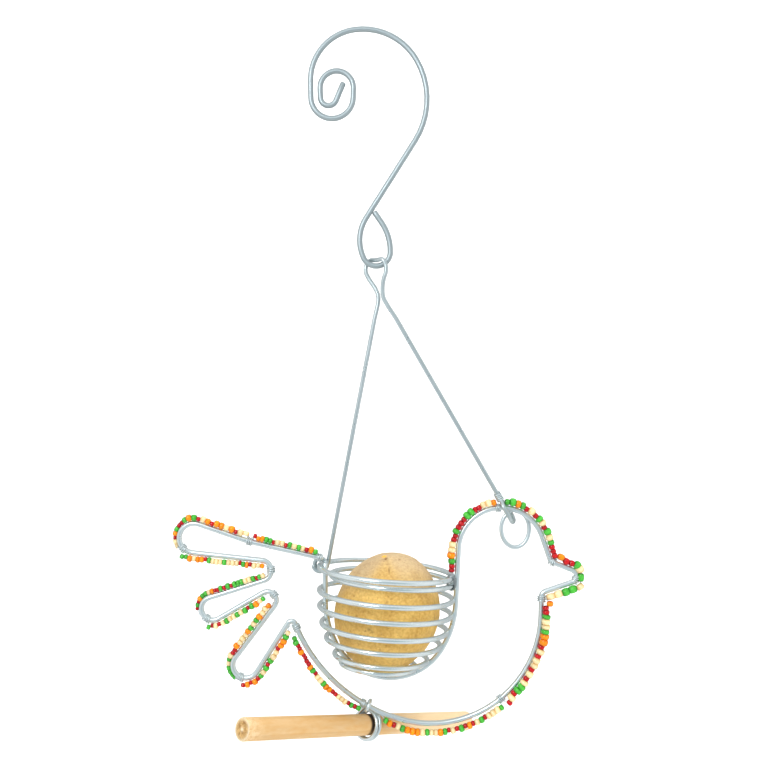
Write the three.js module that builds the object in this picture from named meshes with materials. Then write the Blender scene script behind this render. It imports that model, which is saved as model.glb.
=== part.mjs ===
// A bird-shaped suet feeder of bent wire: a scrolled hook, a hanger, a beaded bird
// outline that turns into a cradle, a basket of wire rings holding a suet ball, and a
// wooden perch in a wire coil. Millimetres, +Z up, beak towards +X, front towards -Y.
// The origin is the inside top of the hook, where it hangs on a branch.
import * as THREE from 'three';

// Stock
const hookWire = 3.2;
const hangerWire = 2.4;
const frameWire = 3.0;
const ringWire = 3.0;
const eyeWire = 2.4;
const coilWire = 2.0;
const tieWire = 0.9;
const beadDiameter = 4.2;
const beadLength = 2.65;
const threadDiameter = 1.5;
const touchGap = 0.3;

// Hook: scroll, bow and teardrop eye
const scrollEnd = { x: -12.8, z: -29.0 };
const scrollCurl = { x: -21.4, z: -37.7, radius: 4.6 };
const scrollTop = { x: -16.7, z: -32.0, radius: 9.5 };
const scrollBottom = { x: -19.4, z: -37.6, radius: 12.1 };
const bowX = -2.6;
const bowRadius = 29.3;
const bowBackRadius = 35.4;
const bowBackAngle = 98;
const shoulderRadius = 44.6;
const shoulderAngle = 30;
const hookEye = { x: 5.9, z: -126.0, radius: 8.0 };
const eyeFlankRadius = 24.0;
const eyeFlankAngle = 25;
const eyeTailRadius = 28.5;
const eyeTailAngle = 178;
const hookTip = { x: 4.6, z: -102.9 };

// Bird outline: the bends of one wire, in order from the top of the tail
const tailStart = { x: -24.3, z: -301.1 };
const tailTop = { x: -66.3, z: -291.4 };
const tailTopRadius = 60.0;
const tailTipOne = { x: -98.3, z: -289.4, radius: 8.4 };
const tailNotchOne = { x: -60.0, z: -308.0, radius: 5.9 };
const tailTipTwo = { x: -87.4, z: -329.7, radius: 6.6 };
const tailNotchTwo = { x: -56.3, z: -325.1, radius: 5.1 };
const tailTipThree = { x: -68.6, z: -362.0, radius: 7.4 };
const rump = { x: -42.6, z: -339.1, radius: 2.2 };
const bellyRadius = 92.6;
const bellyAngle = 21.7;
const breastFrontX = 100.0;
const breastAngle = 253;
const beakRoot = { x: 103.3, z: -322.8, radius: 3.0 };
const beakTip = { x: 116.6, z: -311.1, radius: 3.7 };
const brow = { x: 107.8, z: -300.6, radius: 2.8 };
const head = { x: 77.4, z: -296.6, radius: 24.6 };

// Cradle: the U that the outline ends in, a three-arc oval
const cradleX = 14.0;
const cradleZ = -324.9;
const cradleHalfWidth = 37.3;
const cradleDepth = 44.3;
const cradleSideRadius = 52.6;
const cradleTopZ = -303.4;

// Basket
const rimZ = -308.3;
const rimSpacing = 4.3;
const ringDrops = [8.9, 8.8, 9.4, 8.3, 8.9, 4.5];
const basketTilt = 4.5;
const basketLean = 2.0;

// Suet ball
const suetRadius = 29.5;
const suetHalfHeight = 34.3;
const suetTilt = 18;
const suetX = 12.2;
const suetY = 0.8;
const suetSeat = 1.8;

// Bird's eye and hanger
const eyeCentre = { x: 85.7, z: -284.6 };
const eyeHalfWidth = 8.0;
const eyeHalfHeight = 10.6;
const eyeLoop = { from: 118, to: 400, step: 23.5 };
const eyeSlack = 0.1;
const eyeTails = { left: [[5.4, -0.9], [4.2, -2.0]], right: [[11.2, -3.9], [9.4, -2.4]] };
const hangPointAngle = 86.7;
const rimHoldAngle = 171;
const rimEyeSlack = 0.2;
const rimEyePitch = 3.2;
const rimEyeSweep = 270;
const rimEyeStep = 30;
const legLean = [0.9, 0, 4.2];
const legShares = [0.06, 0.5, 0.95];
const rockClearance = 1.1;
const neckFoot = { left: [-1.0, 1.9, -30.0], right: [11.2, -1.7, -29.9] };
const neckLeft = [[1.2, 1.8, -18.4], [-0.1, 2.2, -13.6], [-4.4, 3.0, -6.8]];
const neckRight = [[4.3, -2.8, -7.4], [3.6, -2.2, -12.4], [4.0, -1.9, -17.8], [6.6, -1.8, -22.9]];
const neckEyeLeft = [[-6.1, -2.9], [-5.6, 1.1]];
const neckEyeRight = [[5.4, 0.0], [5.4, -4.0]];
const archHalf = 3.6;
const archDepth = 2.8;
const archSlack = 0.25;
const hairpinEntry = [2.8, -0.2, -5.0];
const hairpinEase = { front: 1.8, back: 1.6, end: 0.2 };
const hairpinOut = [[-0.6, 0.9], [2.5, -4.6]];
const hairpinTurn = [[5.0, -8.4], [5.5, -9.3], [4.4, -7.3]];
const hairpinReturn = [[1.2, -1.8], [-0.4, 1.4]];
const hairpinFoot = [-4.5, 8.9];
const hairpinEnd = [[-1.9, 4.2], [-4.3, 8.6]];

// Perch
const dowelDiameter = 12.0;
const dowelLength = 184.0;
const dowelShift = -0.9;
const dowelPlanAngle = 46;
const dowelTilt = 13.0;
const coilTurns = 2.25;
const coilPitch = 2.7;
const coilClearance = 0.9;
const perchAngle = 241.3;
const perchOffset = { x: 0.1, y: 4.0 };
const perchBellyGap = 1.8;
const perchEyeRadius = 3.4;
const perchEyeSweep = 232;
const perchEyeStep = 29;
const coilLeave = -50;

// Ties
const tieTurns = 2;
const tiePitch = 1.5;
const tieGap = 0.35;
const rimTieAngle = -15;
const hairpinTieDrop = 3.6;
const tieBowShare = 1.5;
const tieRuns = {
  tailStart: 43.3,
  tailTipOne: 8.0,
  tailTipTwo: 4.0,
  tailTipThree: 1.3,
  rump: 4.6,
  breast: 4.0,
  beakRoot: -3.2,
  beakTip: -1.6,
  brow: -1.0,
};

// Room for the other pieces between the bead strands
const bellyTailStandOff = 0.5;
const perchBeadGap = { tail: 2.9, breast: 11.4 };
const hangBeadGap = { front: 2.0, back: 6.0 };
const neckBeadGap = 0.8;
const tailBeadStart = 4.0;
const strandStep = 0.5;

const leftTurn = 1;
const rightTurn = -1;
const degrees = Math.PI / 180;

function bend(place, turn) {
  return { x: place.x, z: place.z, radius: place.radius ?? 0, turn };
}

// A bend of another radius that carries a bend on without a kink. The angle is the
// direction of the shared point from the two centres.
function carriedOn(before, radius, angle) {
  const shift = before.radius - radius;
  return {
    x: before.x + shift * Math.cos(angle * degrees),
    z: before.z + shift * Math.sin(angle * degrees),
    radius,
    turn: before.turn,
  };
}

// The same, for a bend that follows towards a centre in the given direction.
function flank(before, radius, angle) {
  const shift = radius - before.radius;
  return {
    x: before.x + shift * Math.cos(angle * degrees),
    z: before.z + shift * Math.sin(angle * degrees),
    radius,
    turn: before.turn,
  };
}

// A flat wire route: arcs round the given bends joined by their common tangents.
function wireRoute(bends) {
  const headings = [];
  for (let i = 0; i + 1 < bends.length; i++) {
    const [a, b] = [bends[i], bends[i + 1]];
    const across = b.turn * b.radius - a.turn * a.radius;
    const apart = Math.hypot(b.x - a.x, b.z - a.z);
    const slant = Math.asin(THREE.MathUtils.clamp(across / apart, -1, 1));
    headings.push(Math.atan2(b.z - a.z, b.x - a.x) - slant);
  }
  const pieces = [];
  const arcs = [];
  let station = 0;
  const edge = (one, heading) => ({
    x: one.x + one.turn * one.radius * Math.sin(heading),
    z: one.z - one.turn * one.radius * Math.cos(heading),
  });
  for (let i = 0; i < bends.length; i++) {
    const one = bends[i];
    if (i > 0 && i + 1 < bends.length) {
      const full = 2 * Math.PI;
      let sweep = one.turn * (headings[i] - headings[i - 1]);
      sweep = ((sweep % full) + full) % full;
      if (sweep > full - 1e-6) sweep = 0;
      const length = sweep * one.radius;
      pieces.push({ station, length, bend: one, heading: headings[i - 1], sweep });
      arcs.push({ start: station, middle: station + length / 2, end: station + length });
      station += length;
    } else {
      arcs.push({ start: station, middle: station, end: station });
    }
    if (i + 1 < bends.length) {
      const from = edge(one, headings[i]);
      const to = edge(bends[i + 1], headings[i]);
      const length = Math.hypot(to.x - from.x, to.z - from.z);
      pieces.push({ station, length, from, heading: headings[i], sweep: 0 });
      station += length;
    }
  }
  return { pieces, arcs, length: station };
}

// The point and heading of a route at a distance from its start.
function routeAt(route, distance) {
  let piece = route.pieces[0];
  for (const one of route.pieces) {
    if (one.station <= distance && one.length > 0) piece = one;
  }
  const along = distance - piece.station;
  if (!piece.bend) {
    const heading = piece.heading;
    const x = piece.from.x + along * Math.cos(heading);
    const z = piece.from.z + along * Math.sin(heading);
    return { x, z, heading };
  }
  const { bend: one } = piece;
  const heading = piece.heading + one.turn * (along / one.radius);
  const x = one.x + one.turn * one.radius * Math.sin(heading);
  const z = one.z - one.turn * one.radius * Math.cos(heading);
  return { x, z, heading };
}

// Points of a route: one a straight, and enough round each bend.
const bendStep = 22.5 * degrees;
const bendChord = 7.5;

function routePoints(route) {
  const stations = [0];
  for (const piece of route.pieces) {
    if (piece.length < 1e-6) continue;
    const byAngle = piece.sweep / bendStep;
    const byChord = piece.bend ? piece.length / bendChord : 0;
    const steps = Math.max(1, Math.ceil(Math.max(byAngle, Math.min(byChord, 4 * byAngle))));
    for (let k = 1; k <= steps; k++) stations.push(piece.station + (piece.length * k) / steps);
  }
  return stations.map((station) => {
    const { x, z } = routeAt(route, station);
    return new THREE.Vector3(x, 0, z);
  });
}

// A curve that visits exactly the points that it is given.
class PointRoute extends THREE.Curve {
  constructor(points) {
    super();
    this.points = points;
  }

  getPointAt(u) {
    return this.points[Math.round(u * (this.points.length - 1))].clone();
  }

  getTangentAt(u) {
    const last = this.points.length - 1;
    const i = Math.round(u * last);
    const tangent = new THREE.Vector3();
    if (i > 0) tangent.add(this.points[i].clone().sub(this.points[i - 1]).normalize());
    if (i < last) tangent.add(this.points[i + 1].clone().sub(this.points[i]).normalize());
    return tangent.normalize();
  }
}

function roundSection(diameter, sides) {
  const corners = [];
  for (let k = 0; k < sides; k++) {
    const angle = (2 * Math.PI * (k + 0.5)) / sides;
    corners.push(new THREE.Vector2(Math.cos(angle), Math.sin(angle)).multiplyScalar(diameter / 2));
  }
  return new THREE.Shape(corners);
}

// A round wire with flat ends through the points.
function wire(points, diameter, sides) {
  return new THREE.ExtrudeGeometry(roundSection(diameter, sides), {
    steps: points.length - 1,
    extrudePath: new PointRoute(points),
    bevelEnabled: false,
  });
}

// Points of a smooth curve through the given points, a few between each pair.
function smooth(points, between) {
  const curve = new THREE.CatmullRomCurve3(points, false, 'centripetal');
  return curve.getPoints((points.length - 1) * between);
}

// The least gap between turns of a winding, measured on its points.
function reportGap(name, points, diameter) {
  let least = Infinity;
  for (let i = 0; i < points.length; i++) {
    let travelled = 0;
    for (let j = i + 1; j < points.length; j++) {
      travelled += points[j].distanceTo(points[j - 1]);
      if (travelled > 4 * diameter) {
        least = Math.min(least, points[i].distanceTo(points[j]) - diameter);
      }
    }
  }
  console.log(`${name}: least gap between turns ${least.toFixed(2)} mm`);
}

const feeder = new THREE.Group();

function addPart(name, geometry, finish) {
  const mesh = new THREE.Mesh(geometry, new THREE.MeshStandardMaterial(finish));
  mesh.name = name;
  feeder.add(mesh);
  return mesh;
}

const galvanised = { color: 0xb9c3c8, roughness: 0.38, metalness: 0.9 };
const tieSteel = { color: 0x9aa3a6, roughness: 0.42, metalness: 0.9 };
const pineDowel = { color: 0xd9b27c, roughness: 0.7, metalness: 0.0 };
const suet = { color: 0xd3a85a, roughness: 0.85, metalness: 0.0 };
const beadGlass = { color: 0x4fae3a, roughness: 0.2, metalness: 0.0 };

// Hook
const bow = bend({ x: bowX, z: hookWire / 2 - bowRadius, radius: bowRadius }, rightTurn);
const bowBack = carriedOn(bow, bowBackRadius, bowBackAngle);
const shoulder = carriedOn(bowBack, shoulderRadius, shoulderAngle);
const eyeBottom = bend(hookEye, leftTurn);
const hookRoute = wireRoute([
  bend(scrollEnd, rightTurn),
  bend(scrollCurl, rightTurn),
  bend(scrollTop, rightTurn),
  bend(scrollBottom, rightTurn),
  bow,
  bowBack,
  shoulder,
  flank(eyeBottom, eyeFlankRadius, eyeFlankAngle),
  eyeBottom,
  flank(eyeBottom, eyeTailRadius, eyeTailAngle),
  bend(hookTip, leftTurn),
]);
const hookPoints = routePoints(hookRoute);
reportGap('hook', hookPoints, hookWire);
addPart('hook', wire(hookPoints, hookWire, 8), galvanised);

// Bird outline and cradle
const bellyReach = bellyRadius + rump.radius + touchGap / 6;
const belly = bend({
  x: rump.x + bellyReach * Math.cos(bellyAngle * degrees),
  z: rump.z + bellyReach * Math.sin(bellyAngle * degrees),
  radius: bellyRadius,
}, leftTurn);
const breastCos = Math.cos(breastAngle * degrees);
const breastRadius = (breastFrontX - belly.x - bellyRadius * breastCos) / (1 - breastCos);
const breast = carriedOn(belly, breastRadius, breastAngle);
const sideInset = cradleSideRadius - cradleHalfWidth;
const sideReach = cradleSideRadius - cradleDepth;
const bottomDrop = (sideInset ** 2 - sideReach ** 2) / (2 * sideReach);
const cradleBottom = {
  x: cradleX,
  z: cradleZ - bottomDrop,
  radius: cradleDepth - bottomDrop,
};
const cradleFront = { x: cradleX - sideInset, z: cradleZ, radius: cradleSideRadius };
const cradleBack = { x: cradleX + sideInset, z: cradleZ, radius: cradleSideRadius };
const tailRun = Math.atan2(tailTipOne.z + tailTipOne.radius - tailStart.z, tailTipOne.x - tailStart.x);
const tailTopBend = {
  x: tailTop.x + tailTopRadius * Math.sin(tailRun),
  z: tailTop.z - tailTopRadius * Math.cos(tailRun),
  radius: tailTopRadius,
};
const outlineBends = {
  tailStart: bend(tailStart, leftTurn),
  tailTop: bend(tailTopBend, rightTurn),
  tailTipOne: bend(tailTipOne, leftTurn),
  tailNotchOne: bend(tailNotchOne, rightTurn),
  tailTipTwo: bend(tailTipTwo, leftTurn),
  tailNotchTwo: bend(tailNotchTwo, rightTurn),
  tailTipThree: bend(tailTipThree, leftTurn),
  rump: bend(rump, rightTurn),
  belly,
  breast,
  beakRoot: bend(beakRoot, rightTurn),
  beakTip: bend(beakTip, leftTurn),
  brow: bend(brow, rightTurn),
  head: bend(head, leftTurn),
  cradleFront: bend(cradleFront, rightTurn),
  cradleBottom: bend(cradleBottom, rightTurn),
  cradleBack: bend(cradleBack, rightTurn),
  cradleTop: bend({ x: cradleX - cradleHalfWidth, z: cradleTopZ }, leftTurn),
};
const bendNames = Object.keys(outlineBends);
const outline = wireRoute(Object.values(outlineBends));
addPart('body_frame', wire(routePoints(outline), frameWire, 8), galvanised);

// Distances along the outline: past the middle of a bend, or where a bend faces an angle.
function past(name, distance) {
  return outline.arcs[bendNames.indexOf(name)].middle + distance;
}

function facing(name, angle) {
  const round = outlineBends[name];
  const { x, z } = routeAt(outline, past(name, 0));
  const middle = Math.atan2(z - round.z, x - round.x);
  const turn = angle * degrees - middle;
  return past(name, round.turn * round.radius * Math.atan2(Math.sin(turn), Math.cos(turn)));
}

// Basket rings: each lies outside the cradle wire at the tail side and inside it at the
// neck side, so that the cradle threads the stack and holds it.
const ringClear = (frameWire + ringWire) / 2 + touchGap;

function cradleAt(z, side, offset) {
  const centre = side > 0 ? cradleFront : cradleBack;
  const low = { x: cradleBottom.x - centre.x, z: cradleBottom.z - centre.z };
  const share = (cradleSideRadius + offset) / Math.hypot(low.x, low.z);
  const joinZ = centre.z + low.z * share;
  if (z >= cradleZ) return cradleX + side * (cradleHalfWidth + offset);
  const round = z >= joinZ ? centre : cradleBottom;
  const rise = z - round.z;
  return round.x + side * Math.sqrt((round.radius + offset) ** 2 - rise ** 2);
}

function basketRing(z, outsideAtTail) {
  const slope = Math.tan(basketTilt * degrees);
  const tailOffset = outsideAtTail ? ringClear : -ringClear;
  let half = cradleHalfWidth;
  let x = cradleX;
  for (let pass = 0; pass < 6; pass++) {
    const tailSide = cradleAt(z + half * slope, -1, tailOffset);
    const neckSide = cradleAt(z - half * slope, 1, -ringClear);
    x = (tailSide + neckSide) / 2;
    half = (neckSide - tailSide) / 2;
  }
  return { x, z, radius: half / Math.cos(basketTilt * degrees) };
}

function ringPoint(ring, angle) {
  const place = new THREE.Vector3(Math.cos(angle * degrees), Math.sin(angle * degrees), 0);
  const turn = new THREE.Euler(-basketLean * degrees, basketTilt * degrees, 0, 'XYZ');
  return place.multiplyScalar(ring.radius).applyEuler(turn).add(new THREE.Vector3(ring.x, 0, ring.z));
}

function addRing(name, ring) {
  const mesh = addPart(name, new THREE.TorusGeometry(ring.radius, ringWire / 2, 6, 28), galvanised);
  mesh.position.set(ring.x, 0, ring.z);
  mesh.rotation.set(-basketLean * degrees, basketTilt * degrees, 0, 'XYZ');
}

const upperRim = basketRing(rimZ, true);
const lowerRim = basketRing(rimZ - rimSpacing, false);
addRing('rim_ring_upper', upperRim);
addRing('rim_ring_lower', lowerRim);
let ringZ = rimZ - rimSpacing;
ringDrops.forEach((drop, i) => {
  ringZ -= drop;
  addRing(`basket_ring_${i + 1}`, basketRing(ringZ, true));
});

// Suet ball: an egg-shaped ball that stands on the bottom of the cradle
const suetProfile = [];
const suetSteps = 12;
for (let k = 0; k <= suetSteps; k++) {
  const angle = Math.PI * (k / suetSteps - 0.5);
  const radius = k === 0 || k === suetSteps ? 0 : suetRadius * Math.cos(angle);
  suetProfile.push(new THREE.Vector2(radius, suetHalfHeight * Math.sin(angle)));
}
const suetGeometry = new THREE.LatheGeometry(suetProfile, 24);
suetGeometry.rotateX(Math.PI / 2);
const suetBall = addPart('suet_ball', suetGeometry, suet);
const cradleSeatZ = cradleZ - cradleDepth + frameWire / 2;
suetBall.position.set(suetX, suetY, cradleSeatZ + suetSeat + suetHalfHeight);
suetBall.rotation.y = suetTilt * degrees;

// Bird's eye: a wire loop tied up behind the top of the head
const eyeY = (frameWire + eyeWire) / 2 + touchGap + eyeSlack;
const hangPoint = {
  x: head.x + head.radius * Math.cos(hangPointAngle * degrees),
  z: head.z + head.radius * Math.sin(hangPointAngle * degrees),
};
const eyeTail = ([x, z]) => new THREE.Vector3(hangPoint.x + x, eyeY, hangPoint.z + z);
const eyeRoute = eyeTails.left.map(eyeTail);
for (let angle = eyeLoop.from; angle <= eyeLoop.to; angle += eyeLoop.step) {
  const x = eyeCentre.x + eyeHalfWidth * Math.cos(angle * degrees);
  const z = eyeCentre.z + eyeHalfHeight * Math.sin(angle * degrees);
  eyeRoute.push(new THREE.Vector3(x, eyeY, z));
}
eyeRoute.push(...eyeTails.right.map(eyeTail));
addPart('eye_ring', wire(smooth(eyeRoute, 2), eyeWire, 6), galvanised);

// Hanger: an eye round the rim, a leg up to the loop that hangs in the hook's eye, and
// a leg down to a hairpin round the head wire
const linkBottom = { x: hookEye.x, z: hookEye.z - hookEye.radius };
const linkY = (hookWire + hangerWire) / 2 + 1.2 * touchGap;
const archRise = (hookWire + hangerWire) / 2 + touchGap + archSlack;
const hairpinFront = -((frameWire + hangerWire) / 2 + rockClearance);
const hairpinBack = eyeY + (eyeWire + hangerWire) / 2 + rockClearance;
const pairY = (hangerWire + touchGap) / 2;

function fromLink(x, y, z) {
  return new THREE.Vector3(linkBottom.x + x, y, linkBottom.z + z);
}

function fromHead(x, y, z) {
  return new THREE.Vector3(hangPoint.x + x, y, hangPoint.z + z);
}

const rimHold = ringPoint(upperRim, rimHoldAngle);
const rimRun = ringPoint(upperRim, rimHoldAngle + 1).sub(rimHold).normalize();
const rimInward = new THREE.Vector3(upperRim.x, 0, upperRim.z).sub(rimHold).normalize();
const rimUp = new THREE.Vector3().crossVectors(rimRun, rimInward).normalize();
if (rimUp.z < 0) rimUp.negate();
const rimEyeRadius = (ringWire + hangerWire) / 2 + touchGap + rimEyeSlack;
const rimEye = [];
for (let angle = -rimEyeSweep; angle <= 0; angle += rimEyeStep) {
  const place = rimHold.clone();
  place.addScaledVector(rimInward, rimEyeRadius * Math.cos(angle * degrees));
  place.addScaledVector(rimUp, rimEyeRadius * Math.sin(angle * degrees));
  place.addScaledVector(rimRun, -rimEyePitch * (angle + rimEyeSweep / 2) / 360);
  rimEye.push(place);
}
const legFoot = rimEye[rimEye.length - 1].clone().add(new THREE.Vector3(...legLean));
const legTop = fromLink(...neckFoot.left);
const rightTop = fromLink(...neckFoot.right);
const rightFoot = fromHead(hairpinFoot[0], -pairY, hairpinFoot[1]);
const hairpinMiddleY = [
  hairpinFront + hairpinEase.front,
  (hairpinFront + hairpinBack) / 2,
  hairpinBack - hairpinEase.back,
];
const [entryX, entryY, entryZ] = hairpinEntry;
const hangerRoute = [
  ...rimEye,
  legFoot,
  ...legShares.map((share) => legFoot.clone().lerp(legTop, share)),
  legTop,
  ...neckLeft.map((place) => fromLink(...place)),
  ...neckEyeLeft.map(([x, z]) => fromLink(x, linkY, z)),
  fromLink(-archHalf, archDepth, archRise),
  fromLink(0, 0, archRise),
  fromLink(archHalf, -archDepth, archRise),
  ...neckEyeRight.map(([x, z]) => fromLink(x, -linkY, z)),
  ...neckRight.map((place) => fromLink(...place)),
  rightTop,
  ...legShares.map((share) => rightTop.clone().lerp(rightFoot, share)),
  rightFoot,
  fromHead(hairpinFoot[0] + entryX, entryY - pairY, hairpinFoot[1] + entryZ),
  ...hairpinOut.map(([x, z]) => fromHead(x, hairpinFront, z)),
  ...hairpinTurn.map(([x, z], i) => fromHead(x, hairpinMiddleY[i], z)),
  fromHead(hairpinReturn[0][0], hairpinBack, hairpinReturn[0][1]),
  fromHead(hairpinReturn[1][0], hairpinBack - hairpinEase.back, hairpinReturn[1][1]),
  ...hairpinEnd.map(([x, z], i) => fromHead(x, pairY + hairpinEase.end * (1 - i), z)),
];
addPart('hanger', wire(smooth(hangerRoute, 2), hangerWire, 6), galvanised);

// Perch: a dowel in a wire coil that hooks over the belly
const planCos = Math.cos(dowelPlanAngle * degrees);
const planSin = Math.sin(dowelPlanAngle * degrees);
const tiltCos = Math.cos(dowelTilt * degrees);
const tiltSin = Math.sin(dowelTilt * degrees);
const dowelRun = new THREE.Vector3(tiltCos * planCos, tiltCos * planSin, -tiltSin);
const dowelUp = new THREE.Vector3(tiltSin * planCos, tiltSin * planSin, tiltCos);
const dowelSide = new THREE.Vector3().crossVectors(dowelRun, dowelUp);
const coilRadius = dowelDiameter / 2 + coilClearance + coilWire / 2;
const perchHold = new THREE.Vector3(
  belly.x + belly.radius * Math.cos(perchAngle * degrees),
  0,
  belly.z + belly.radius * Math.sin(perchAngle * degrees),
);
const perchDrop = coilRadius + (coilWire + frameWire) / 2 + perchBellyGap;
const perchCentre = perchHold.clone().add(new THREE.Vector3(perchOffset.x, perchOffset.y, -perchDrop));

const dowel = addPart(
  'perch_dowel',
  new THREE.CylinderGeometry(dowelDiameter / 2, dowelDiameter / 2, dowelLength, 24),
  pineDowel,
);
dowel.position.copy(perchCentre).addScaledVector(dowelRun, dowelShift);
dowel.quaternion.setFromUnitVectors(new THREE.Vector3(0, 1, 0), dowelRun);

const coilSteps = 16;
const coilRoute = [];
const coilCount = Math.round(coilTurns * coilSteps);
for (let k = 0; k <= coilCount; k++) {
  const angle = (coilLeave - 360 * coilTurns * (1 - k / coilCount)) * degrees;
  const along = coilPitch * coilTurns * (0.5 - k / coilCount);
  const place = perchCentre.clone().addScaledVector(dowelRun, along);
  place.addScaledVector(dowelUp, coilRadius * Math.cos(angle));
  place.addScaledVector(dowelSide, coilRadius * Math.sin(angle));
  coilRoute.push(place);
}
const bellyUp = new THREE.Vector3(-Math.cos(perchAngle * degrees), 0, -Math.sin(perchAngle * degrees));
for (let angle = 0; angle <= perchEyeSweep; angle += perchEyeStep) {
  const place = perchHold.clone().addScaledVector(bellyUp, perchEyeRadius * Math.sin(angle * degrees));
  place.y += perchEyeRadius * Math.cos(angle * degrees);
  coilRoute.push(place);
}
const coilPoints = smooth(coilRoute, 1);
reportGap('perch_coil', coilPoints, coilWire);
addPart('perch_coil', wire(coilPoints, coilWire, 6), galvanised);

// Ties: a few turns of thin wire round the outline between the bead strands. A bundle
// has a middle, a run, two cross directions, and half the spacing of its two wires.
function winding(bundle, core) {
  const steps = 8;
  const radius = ((core + tieWire) / 2 + tieGap) / Math.cos(Math.PI / steps);
  const points = [];
  const count = tieTurns * steps;
  for (let k = 0; k <= count; k++) {
    const angle = (2 * Math.PI * (k + 0.5)) / steps;
    const rise = Math.sin(angle);
    const place = bundle.middle.clone();
    place.addScaledVector(bundle.run, tiePitch * (k / steps - tieTurns / 2));
    place.addScaledVector(bundle.across, radius * Math.cos(angle));
    place.addScaledVector(bundle.up, radius * rise + bundle.half * Math.sign(rise));
    points.push(place);
  }
  const lead = points[0].clone().sub(points[1]).normalize().multiplyScalar(tieWire);
  const leave = points[count].clone().sub(points[count - 1]).normalize().multiplyScalar(tieWire);
  points.unshift(points[0].clone().add(lead));
  points.push(points[points.length - 1].clone().add(leave));
  return points;
}

function addTie(name, bundle, core) {
  const points = winding(bundle, core);
  reportGap(name, points, tieWire);
  addPart(name, wire(points, tieWire, 5), tieSteel);
}

const depth = new THREE.Vector3(0, 1, 0);
const tieReach = (tieTurns * tiePitch + tieWire) / 2;
const tieStations = {
  tail_top: past('tailStart', tieRuns.tailStart),
  tail_tip_one: past('tailTipOne', tieRuns.tailTipOne),
  tail_notch_one: past('tailNotchOne', 0),
  tail_tip_two: past('tailTipTwo', tieRuns.tailTipTwo),
  tail_notch_two: past('tailNotchTwo', 0),
  tail_tip_three: past('tailTipThree', tieRuns.tailTipThree),
  rump: past('rump', tieRuns.rump),
  breast: past('breast', tieRuns.breast),
  beak_root: past('beakRoot', tieRuns.beakRoot),
  beak_tip: past('beakTip', tieRuns.beakTip),
  brow: past('brow', tieRuns.brow),
};

function outlinePoint(station) {
  const { x, z } = routeAt(outline, station);
  return new THREE.Vector3(x, 0, z);
}

// A tie is straight, so on a bend it is wider and sits between the wire and its chord.
for (const [name, station] of Object.entries(tieStations)) {
  const before = outlinePoint(station - tieReach);
  const after = outlinePoint(station + tieReach);
  const chordMiddle = before.clone().lerp(after, 0.5);
  const wireMiddle = outlinePoint(station);
  const run = after.sub(before).normalize();
  const across = new THREE.Vector3().crossVectors(run, depth);
  const middle = wireMiddle.clone().lerp(chordMiddle, 0.5);
  const bow = wireMiddle.distanceTo(chordMiddle);
  addTie(`tie_${name}`, { middle, run, across, up: depth, half: 0 }, frameWire + tieBowShare * bow);
}

// Bead strands: glass beads on a thread, lying along the outside of the outline
function strandPoint(station, offset) {
  const { x, z, heading } = routeAt(outline, station);
  return {
    x: x + offset * Math.sin(heading),
    z: z - offset * Math.cos(heading),
    heading,
  };
}

function beadStrand(from, to, standOff) {
  const offset = (frameWire + beadDiameter) / 2 + standOff;
  const fine = Math.ceil((to - from) / strandStep);
  const places = [];
  let length = 0;
  for (let k = 0; k <= fine; k++) {
    const place = strandPoint(from + ((to - from) * k) / fine, offset);
    if (k > 0) length += Math.hypot(place.x - places[k - 1].x, place.z - places[k - 1].z);
    places.push({ ...place, length });
  }
  const beads = Math.round(length / beadLength);
  const profile = [new THREE.Vector2(0, 0)];
  for (let k = 0; k < beads; k++) {
    profile.push(new THREE.Vector2(threadDiameter / 2, (length * k) / beads));
    profile.push(new THREE.Vector2(beadDiameter / 2, (length * (k + 0.5)) / beads));
  }
  profile.push(new THREE.Vector2(threadDiameter / 2, length));
  profile.push(new THREE.Vector2(0, length));
  const geometry = new THREE.LatheGeometry(profile, 6);
  const position = geometry.attributes.position;
  for (let i = 0; i < position.count; i++) {
    const along = position.getY(i);
    let k = 1;
    while (k < fine && places[k].length < along) k++;
    const [a, b] = [places[k - 1], places[k]];
    const share = THREE.MathUtils.clamp((along - a.length) / (b.length - a.length), 0, 1);
    const heading = a.heading + (b.heading - a.heading) * share;
    const x = a.x + (b.x - a.x) * share + position.getX(i) * Math.sin(heading);
    const z = a.z + (b.z - a.z) * share - position.getX(i) * Math.cos(heading);
    position.setXYZ(i, x, -position.getZ(i), z);
  }
  geometry.computeVertexNormals();
  return geometry;
}

// Strands run from tie to tie, and stop short of the inside corners of the outline so that
// the beads on its two sides stay apart.
const besideTie = tieReach + tieWire / 2 + 2 * touchGap;
const strandOffset = (frameWire + beadDiameter) / 2 + touchGap;

function cornerStop(name, side) {
  const arc = outline.arcs[bendNames.indexOf(name)];
  const halfTurn = (arc.end - arc.start) / outlineBends[name].radius / 2;
  const corner = outlineBends[name].radius * Math.tan(halfTurn);
  const apart = (beadDiameter / 2 + touchGap) / Math.cos(halfTurn) - beadLength / 2;
  const retreat = strandOffset * Math.tan(halfTurn) + apart;
  return side < 0 ? arc.start + corner - retreat : arc.end - corner + retreat;
}

function tieStop(name, side) {
  return tieStations[name] + side * besideTie;
}

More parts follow.
